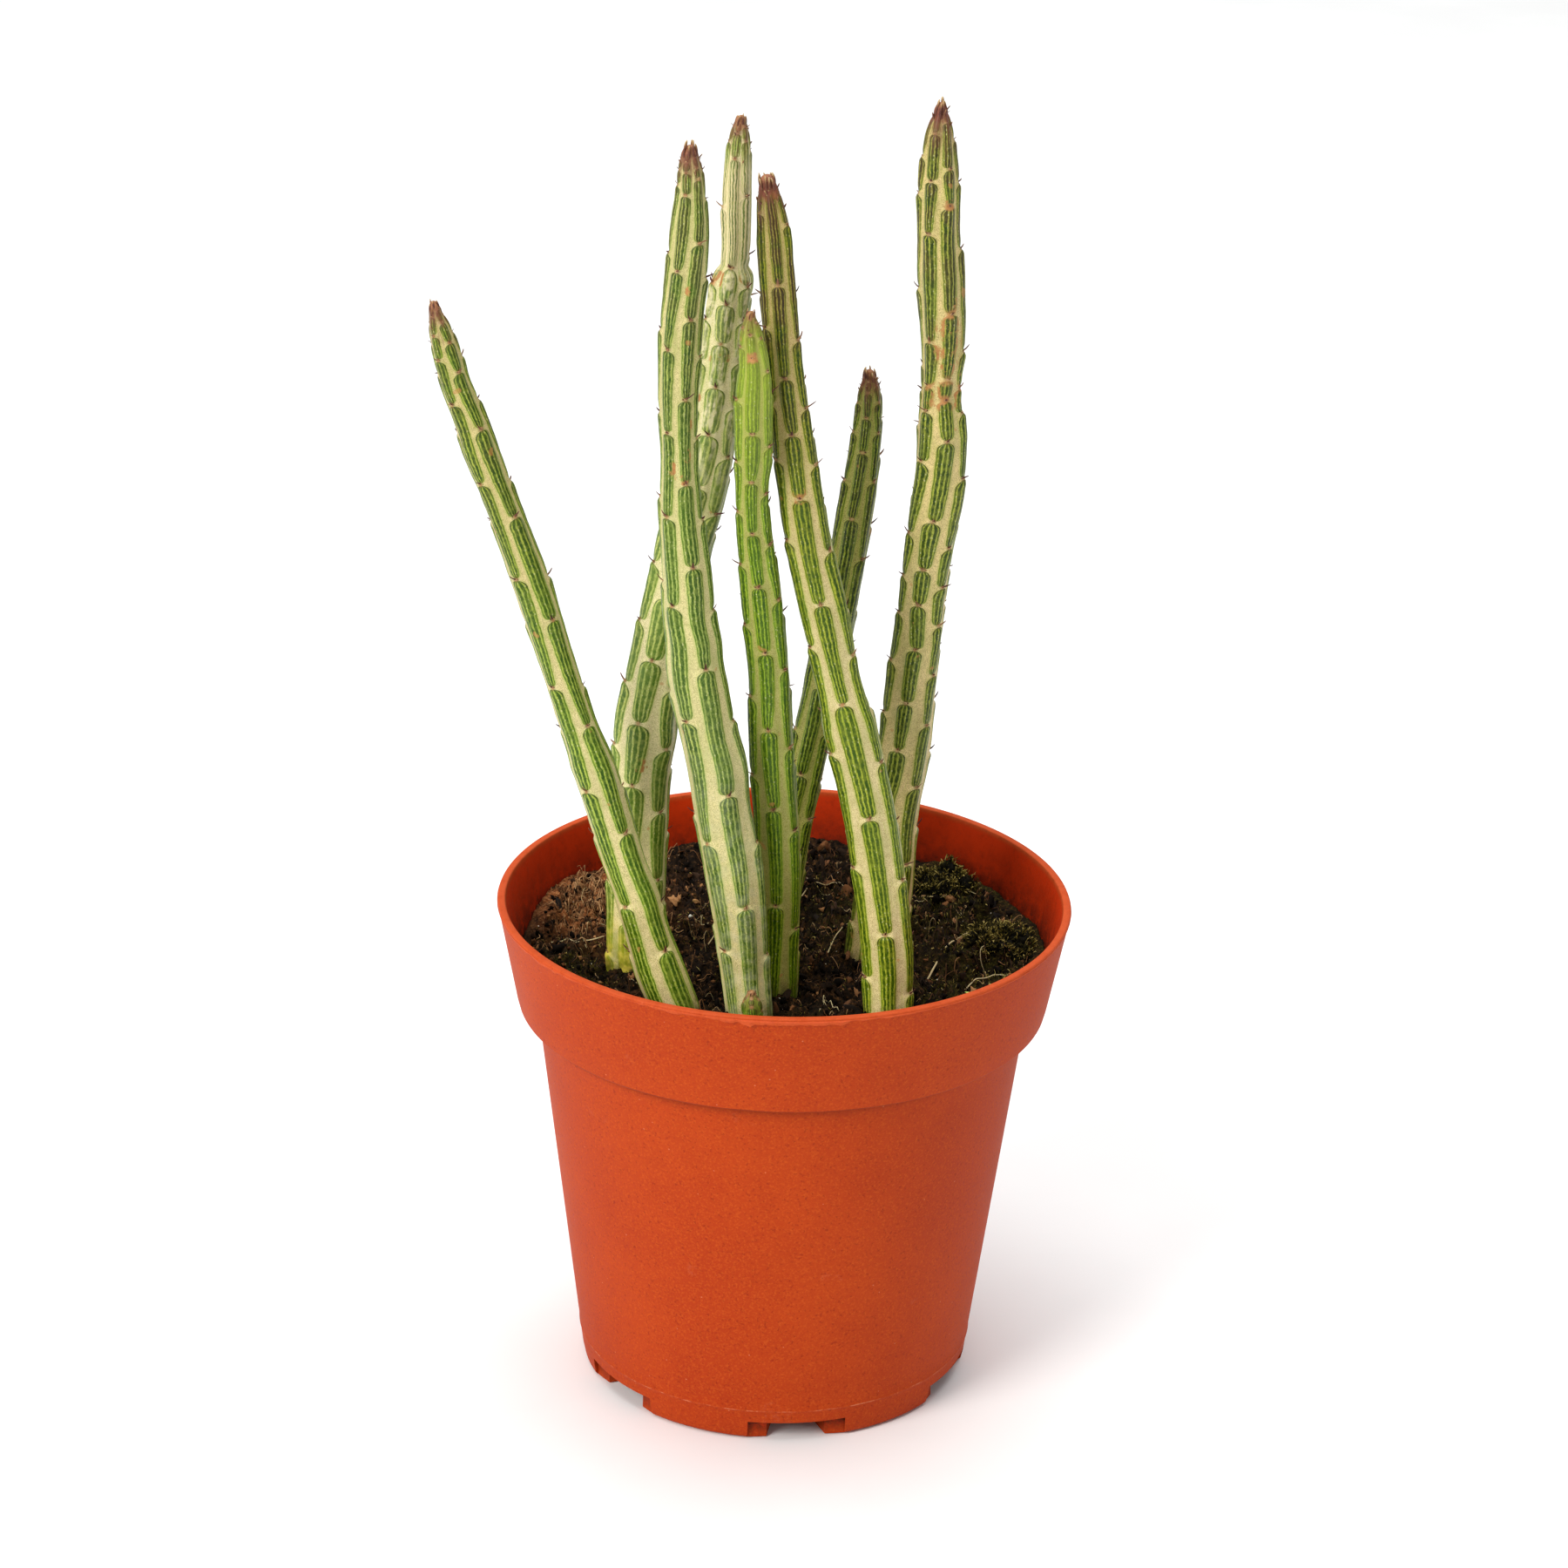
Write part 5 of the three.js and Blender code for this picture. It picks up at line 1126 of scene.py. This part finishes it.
def build_litter(stems):
    rng = np.random.default_rng(4242)
    brown = [(0.0, lin(10, 6, 3)), (0.3, lin(25, 16, 9)), (0.55, lin(56, 36, 20)), (0.8, lin(112, 72, 42)), (1.0, lin(166, 120, 78))]
    # crumbs of peat
    b = Batch()
    for n, level, a, g, cap in ((850, 2, 0.22, 0.17, 1.05), (4200, 1, 0.08, 0.10, 0.55)):
        xy = scatter(rng, n, stems, clear=0.3)
        s = np.minimum(a + rng.gamma(2.0, g, n), cap)
        z = soil_height(xy[:, 0], xy[:, 1]) + s * rng.uniform(-0.45, 0.3, n)
        b.lumps(np.column_stack([xy, z]), s[:, None] * rng.uniform(0.45, 1.4, (n, 3)), rng, np.where(rng.random(n) < 0.22, rng.uniform(0.45, 1.0, n), rng.beta(0.9, 4.2, n)), 0.62, level)
    xy = scatter(rng, 420, stems, centre=(-36, 19), spread=(6, 6), rmax=46.6)
    s = rng.uniform(0.15, 0.6, 420)
    z = soil_height(xy[:, 0], xy[:, 1]) + s * 0.1
    b.lumps(np.column_stack([xy, z]), s[:, None] * rng.uniform(0.6, 1.25, (420, 3)), rng, rng.uniform(0.5, 1.0, 420), 0.36, 1)
    ob = b.build("peat_crumbs", bits_material("peat_crumb", brown, 0.97, 0.6, 0.3, spec=0.1))
    # bark and leaf bits
    b = Batch()
    xy = scatter(rng, 260, stems)
    z = soil_height(xy[:, 0], xy[:, 1]) + 0.25
    S = np.stack([rng.uniform(0.5, 1.9, 260), rng.uniform(0.3, 0.8, 260), rng.uniform(0.07, 0.2, 260)], 1)
    b.lumps(np.column_stack([xy, z]), S, rng, rng.beta(1.8, 1.8, 260), 0.22, 2)
    ob = b.build("bark_bits", bits_material("bark_bit", brown, 0.85, 0.5, 0.3, spec=0.2))
    # peat fibres
    b = Batch()
    n = 1500
    xy = scatter(rng, n, stems, clear=0.2)
    fibres(b, rng, xy, rng.uniform(1.0, 4.6, n), rng.uniform(0.04, 0.10, n), rng.exponential(0.6, n), rng.beta(1.2, 2.0, n), curl=1.8)
    n = 430
    xy = scatter(rng, n, stems, centre=(-36.5, 20.5), spread=(4.6, 5.4), rmax=46.8)
    fibres(b, rng, xy, rng.uniform(1.5, 5.0, n), rng.uniform(0.05, 0.11, n), rng.exponential(0.5, n), rng.uniform(0.5, 1.0, n), curl=1.8)
    ob = b.build("peat_fibres", bits_material("peat_fibre", [(0.0, lin(20, 12, 7)), (0.35, lin(54, 34, 19)), (0.65, lin(118, 78, 44)), (1.0, lin(196, 152, 104))], 0.8, 0.2, 0.4, spec=0.25))
    # pale roots: one long arc near the right stem, and shorter ones
    b = Batch()
    paths = [
        [(26.5, -1.5), (29.0, 4.0), (31.5, 8.0), (34.0, 11.5), (37.0, 14.5), (40.0, 15.6), (42.5, 14.5)],
        [(-40.5, 3.5), (-38.0, 5.5), (-35.0, 5.0), (-33.0, 6.6), (-31.4, 9.0), (-32.5, 11.4), (-35.0, 12.0)],
        [(-43.0, 6.0), (-40.5, 7.6), (-38.0, 6.6), (-36.4, 4.2)],
        [(3.0, 26.0), (6.0, 29.5), (9.5, 31.0), (12.0, 29.6)],
        [(8.0, 5.0), (9.5, 9.5), (12.0, 13.0), (15.0, 15.0)],
        [(33.5, -6.0), (36.0, -2.5), (39.5, -1.0), (42.0, -3.0)],
        [(-14.0, 8.0), (-11.0, 12.0), (-7.0, 13.0), (-5.0, 16.0)],
        [(26.0, 27.0), (30.0, 26.0), (33.0, 28.5), (37.0, 27.0)],
    ]
    for i, p in enumerate(paths):
        p = np.array(p)
        t = np.linspace(0, len(p) - 1, 26)
        X, Y = smooth_curve(t, np.arange(len(p)), p[:, 0]), smooth_curve(t, np.arange(len(p)), p[:, 1])
        Z = soil_height(X, Y)
        Z = np.convolve(np.pad(Z, 3, mode="edge"), np.ones(7) / 7, "valid") + 0.55 * np.sin(np.linspace(0, np.pi, 26)) + 0.12
        R = np.linspace(0.17, 0.08, 26) * (1.15 if i == 0 else 0.8)
        b.tubes(np.stack([X, Y, Z], -1)[None], R[None], 7, [0.75 + 0.1 * (i % 3)])
    n = 130
    xy = scatter(rng, n, stems)
    fibres(b, rng, xy, rng.uniform(1.2, 4.2, n), rng.uniform(0.04, 0.085, n), rng.exponential(0.8, n), rng.uniform(0.2, 1.0, n), curl=2.0, n=10, sides=5, sink=0.0)
    ob = b.build("pale_roots", bits_material("pale_root", [(0.0, lin(112, 84, 52)), (0.5, lin(168, 140, 96)), (1.0, lin(214, 196, 148))], 0.7, 0.2, 0.4, sss=0.1))
    # perlite and grit
    b = Batch()
    n = 26
    xy = np.concatenate([scatter(rng, n - 1, stems), [[-39.7, 19.0]]])
    s = np.append(rng.uniform(0.14, 0.42, n - 1), 0.5)
    z = soil_height(xy[:, 0], xy[:, 1]) + s * 0.35
    b.lumps(np.column_stack([xy, z]), s[:, None] * rng.uniform(0.7, 1.15, (n, 3)), rng, rng.uniform(0.4, 1.0, n), 0.26, 3)
    n = 150
    xy = scatter(rng, n, stems)
    s = rng.uniform(0.08, 0.2, n)
    z = soil_height(xy[:, 0], xy[:, 1]) + s * 0.5
    b.lumps(np.column_stack([xy, z]), s[:, None] * rng.uniform(0.7, 1.15, (n, 3)), rng, rng.uniform(0.0, 0.8, n), 0.2, 1)
    ob = b.build("perlite_and_grit", bits_material("perlite", [(0.0, lin(150, 124, 92)), (0.5, lin(206, 196, 176)), (1.0, lin(240, 236, 224))], 0.75, 0.5, 0.2, sss=0.1))
    # a small pale weed seedling near the wall on the right
    b = Batch()
    x0, y0 = 35.4, -12.4
    zb = float(soil_height(np.array([x0]), np.array([y0]))[0])
    path = np.array([[x0, y0, zb - 0.6], [x0 + 0.1, y0, zb + 0.6], [x0 + 0.1, y0 - 0.1, zb + 1.6], [x0 - 0.2, y0 - 0.1, zb + 2.6], [x0 - 0.6, y0, zb + 3.3]])
    b.tubes(path[None], np.array([[0.30, 0.28, 0.24, 0.2, 0.12]]), 8, [0.3])
    tip = path[-1]
    d0 = np.array([[-0.8, 0.1, 0.5], [0.5, -0.2, 0.8]])
    C = curve_from(np.repeat(tip[None], 2, 0), d0, d0 * [1, 1, 0.2], np.array([1.7, 1.3]), 8)
    b.tubes(C, np.array([[0.16, 0.3, 0.42, 0.46, 0.42, 0.32, 0.18, 0.05]] * 2), 9, [0.8, 0.9], flat=[0.3, 0.3])
    ob = b.build("weed_seedling", bits_material("seedling", [(0.0, lin(226, 214, 140)), (0.6, lin(206, 208, 112)), (1.0, lin(150, 172, 66))], 0.5, 0.1, 0.4, sss=0.15))


def strands(b, rng, P, outd, length, radius, tone, wild=0.5, rings=6):
    """Moss shoots: dark at the foot and lighter at the end, with small leaves."""
    n = len(P)
    d0 = outd * 0.5 + np.array([0, 0, 1.0]) + rng.normal(0, wild * 0.7, (n, 3))
    d1 = outd * 0.8 + np.array([0, 0, 0.5]) + rng.normal(0, wild * 1.3, (n, 3))
    C = curve_from(P, d0, d1, length, rings)
    up = np.linspace(-0.12, 0.34, rings)[None]
    b.tubes(C, radius[:, None] * np.append(np.linspace(1.0, 0.9, rings - 1), 0.3)[None], 4, tone[:, None] + up)
    k = rng.random(n) < 0.7
    q = C[k, rng.integers(2, rings, n)[k]]
    m = len(q)
    dl = rng.normal(0, 1, (m, 3)) + np.array([0, 0, 0.6])
    b.tubes(curve_from(q, dl, dl + np.array([0, 0, 0.6]), rng.uniform(0.25, 0.65, m), 4), rng.uniform(0.07, 0.13, m)[:, None] * np.array([0.7, 1.0, 0.7, 0.15])[None], 4,
            tone[k] + rng.uniform(0.05, 0.5, m), flat=np.full(m, 0.4))


def build_moss(stems):
    rng = np.random.default_rng(99)
    mat = bits_material("moss_green", [(0.0, lin(12, 10, 4)), (0.28, lin(30, 27, 8)), (0.5, lin(64, 58, 16)), (0.72, lin(120, 104, 40)), (1.0, lin(196, 176, 104))], 0.9, 0.3, 0.3, spec=0.12)
    for name, (cx, cy, rx, ry, h) in MOSS.items():
        b = Batch()

        def place(n, reach):
            a, r = rng.uniform(0, 2 * np.pi, n), np.sqrt(rng.uniform(0, 1, n)) * reach
            wob = 0.86 + 0.34 * vnoise(np.cos(a) * 1.7 + cx, np.sin(a) * 1.7 + cy, 0 * a, 5)
            x, y = cx + rx * r * wob * np.cos(a), cy + ry * r * wob * np.sin(a)
            k = np.minimum(1, 46.6 / np.hypot(x, y))
            x, y = x * k, y * k
            base = soil_height(x, y)
            dome = soil_base(np.array([cx]), np.array([cy]))[0] + h * np.sqrt(np.maximum(1 - (r * 0.95) ** 2, 0)) + 0.7 * fbm(x / 2.4, y / 2.4, 0 * x, 2, 0.5, 8)
            return x, y, base, dome

        n = 150
        x, y, base, dome = place(n, 0.85)
        top = np.maximum(np.minimum(dome, base + 2.2) - 0.7, base + 0.1)
        b.lumps(np.column_stack([x, y, (base + top) / 2 - 0.3]), np.column_stack([rng.uniform(0.5, 1.1, n), rng.uniform(0.5, 1.1, n), (top - base) / 2 + 0.4]), rng,
                rng.uniform(-0.1, 0.15, n), 0.35, 2, R=np.repeat(np.eye(3)[None], n, 0))
        n = 900
        x, y, base, dome = place(n, 1.1)
        z = np.maximum(np.minimum(dome - 0.8, base + 1.8), base - 0.15)
        outd = np.column_stack([(x - cx) / rx, (y - cy) / ry, np.zeros(n)])
        strands(b, rng, np.column_stack([x, y, z]), outd, rng.uniform(0.4, 1.7, n), rng.uniform(0.05, 0.10, n), rng.beta(1.3, 2.6, n))
        ob = b.build(name + "_strands", mat)
        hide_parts(name)
    # moss between the cushions: mats on the right, thin tufts elsewhere
    for name, spots in (("moss_mat_right", ((36, 8, 8, 10, 900), (30, 26, 9, 8, 620), (36, -10, 6, 8, 420))),
                        ("moss_mat_middle", ((14, 10, 8, 8, 520), (10, 28, 10, 7, 420), (8, -28, 9, 5, 520), (-6, -4, 6, 6, 160))),
                        ("moss_mat_left", ((-20, -27, 8, 6, 420), (-36, -6, 6, 8, 260), (-16, 16, 8, 8, 300), (-30, 6, 6, 6, 160)))):
        b = Batch()
        for cx, cy, sx, sy, n in spots:
            xy = scatter(rng, n, stems, clear=0.1, centre=(cx, cy), spread=(sx, sy), rmax=46.9)
            z = soil_height(xy[:, 0], xy[:, 1]) - 0.1
            clump = np.clip(fbm(xy[:, 0] / 3.0, xy[:, 1] / 3.0, 0 * z, 2, 0.5, 66) + 0.5, 0.1, 1)
            strands(b, rng, np.column_stack([xy, z]), np.zeros((n, 3)), rng.uniform(0.4, 1.6, n) * (0.5 + 0.7 * clump), rng.uniform(0.045, 0.09, n), rng.beta(1.1, 2.7, n), wild=0.8)
        ob = b.build(name, mat)


# ------------------------------------------------------------------ build
pot = build_pot()
stems = {name: Stem(name) for name in STEMS}
LOOK = {
    "stem_left_leaning": dict(light=lin(158, 182, 70), dark=lin(44, 80, 0), outline=lin(46, 56, 20), band=lin(214, 208, 156), speck=lin(154, 152, 94), purple=0.35, deepen=0.6, cover=0.325),
    "stem_back_left": dict(light=lin(178, 194, 98), dark=lin(56, 98, 4), outline=lin(52, 72, 20), band=lin(228, 224, 176), speck=lin(168, 166, 112), fade=0.12, pale_top=0.95, deepen=0.12, base_yellow=0.95, purple=0.3, cover=0.395),
    "stem_front_left": dict(light=lin(158, 178, 86), dark=lin(46, 80, 4), outline=lin(48, 64, 24), band=lin(212, 208, 152), speck=lin(154, 154, 96), bloom=0.34, purple=0.5, deepen=0.30, cover=0.325),
    "stem_centre": dict(light=lin(142, 172, 40), dark=lin(48, 84, 0), outline=lin(54, 62, 10), band=lin(174, 176, 104), speck=lin(126, 132, 58), purple=0.0, bright_top=0.38, deepen=0.0, cover=0.335),
    "stem_front_right": dict(light=lin(156, 172, 50), dark=lin(44, 74, 0), outline=lin(50, 44, 12), band=lin(210, 204, 152), speck=lin(156, 144, 92), purple=1.0, cover=0.325),
    "stem_back_right": dict(light=lin(150, 172, 56), dark=lin(28, 56, 0), outline=lin(42, 34, 10), band=lin(184, 186, 108), speck=lin(108, 112, 50), purple=0.35, deepen=0.45, cover=0.33),
    "stem_right": dict(light=lin(154, 168, 62), dark=lin(40, 64, 0), outline=lin(44, 38, 16), band=lin(218, 206, 146), speck=lin(150, 138, 84), purple=0.8, deepen=0.22, cover=0.325),
    "shoot_new": dict(light=lin(120, 160, 40), dark=lin(34, 80, 4), outline=lin(36, 62, 8), band=lin(120, 150, 46), speck=lin(86, 112, 26), purple=0.0, deepen=0.0, cover=0.36),
}
SLOTS = {"stem_back_left": "stem_pale", "stem_centre": "stem_bright"}
scale_mat = bits_material("dry_leaf", [(0.0, lin(74, 38, 34)), (0.25, lin(108, 66, 50)), (0.5, lin(150, 110, 74)), (0.72, lin(178, 146, 100)), (1.0, lin(198, 176, 134))], 0.7, 0.4, 0.25, sss=0.03, spec=0.3)
for i, (name, st) in enumerate(stems.items()):
    slot = SLOTS.get(name, "stem_green")
    st.build(stem_material("skin_" + name, seed=float(i), **LOOK[name]), slot)
    leaf_scales(st, scale_mat)
build_soil()
build_litter(list(stems.values()))
build_moss(list(stems.values()))

# ------------------------------------------------------------------ stage, light and camera
def floor_material():
    g = G("floor_white")
    n = g.noise(60, 3, 0.5)
    return g.finish(g.mix(g.step(n, 0.3, 0.7), lin(246, 246, 245), lin(250, 250, 249)), 0.6, spec=0.25)


me = bpy.data.meshes.new("floor")
me.from_pydata([(-4, -4, 0), (4, -4, 0), (4, 4, 0), (-4, 4, 0)], [], [(0, 1, 2, 3)])
me.materials.append(floor_material())
floor = bpy.data.objects.new("floor", me)
floor.location.z = -0.0002
bpy.context.scene.collection.objects.link(floor)


def area(name, loc, target, size, power, color=(1, 1, 1)):
    li = bpy.data.lights.new(name, "AREA")
    li.shape, li.size, li.energy, li.color = "DISK", size, power, color
    ob = bpy.data.objects.new(name, li)
    ob.location = loc
    ob.rotation_euler = (Vector(target) - Vector(loc)).to_track_quat("-Z", "Y").to_euler()
    bpy.context.scene.collection.objects.link(ob)
    return ob


area("key_front_left", (-1.05, -1.05, 1.05), (0, 0, 0.10), 0.8, 22.0, (1.0, 0.985, 0.955))
area("fill_right", (1.1, -1.0, 0.6), (0, 0, 0.11), 0.9, 1.1, (0.97, 0.985, 1.0))
area("overhead", (0.0, 0.40, 2.05), (0, 0.40, 0.0), 2.5, 44.0)

world = bpy.data.worlds.new("studio")
bpy.context.scene.world = world
world.use_nodes = True
wn = world.node_tree
wn.nodes.clear()
wo = wn.nodes.new("ShaderNodeOutputWorld")
bg = wn.nodes.new("ShaderNodeBackground")
bg.inputs[0].default_value = (0.96, 0.98, 1.0, 1.0)
bg.inputs[1].default_value = 0.37
wn.links.new(bg.outputs[0], wo.inputs[0])

scene = bpy.context.scene
scene.view_settings.view_transform = "Standard"
scene.view_settings.look = "None"
scene.view_settings.exposure = 0.0

# camera: pose found from the pot's rim, collar and foot
ELEV, DIST, YAW, PITCH, ROLL = 0.468488522, 850.0, -7.34091849e-4, 0.0768489893, 0.0251335201
FOCAL_PX, FRAME_PX = 5194.38481, 1800.0
C = Vector((0, -math.cos(ELEV) * DIST, math.sin(ELEV) * DIST + 45.0))
fwd0 = Vector((0, math.cos(ELEV), -math.sin(ELEV)))
rt = Vector((1, 0, 0))
up = rt.cross(fwd0)
fwd = (fwd0 + YAW * rt + PITCH * up).normalized()
rt = fwd.cross(Vector((0, 0, 1))).normalized()
up = rt.cross(fwd)
r2 = math.cos(ROLL) * rt + math.sin(ROLL) * up
u2 = -math.sin(ROLL) * rt + math.cos(ROLL) * up
cam = bpy.data.cameras.new("camera")
cam.sensor_fit, cam.sensor_width = "HORIZONTAL", 36.0
cam.lens = FOCAL_PX / FRAME_PX * 36.0
cam.clip_start, cam.clip_end = 0.01, 20.0
cam_ob = bpy.data.objects.new("camera", cam)
m = Matrix((r2, u2, -fwd)).transposed().to_4x4()
m.translation = C * MM
cam_ob.matrix_world = m
scene.collection.objects.link(cam_ob)
scene.camera = cam_ob
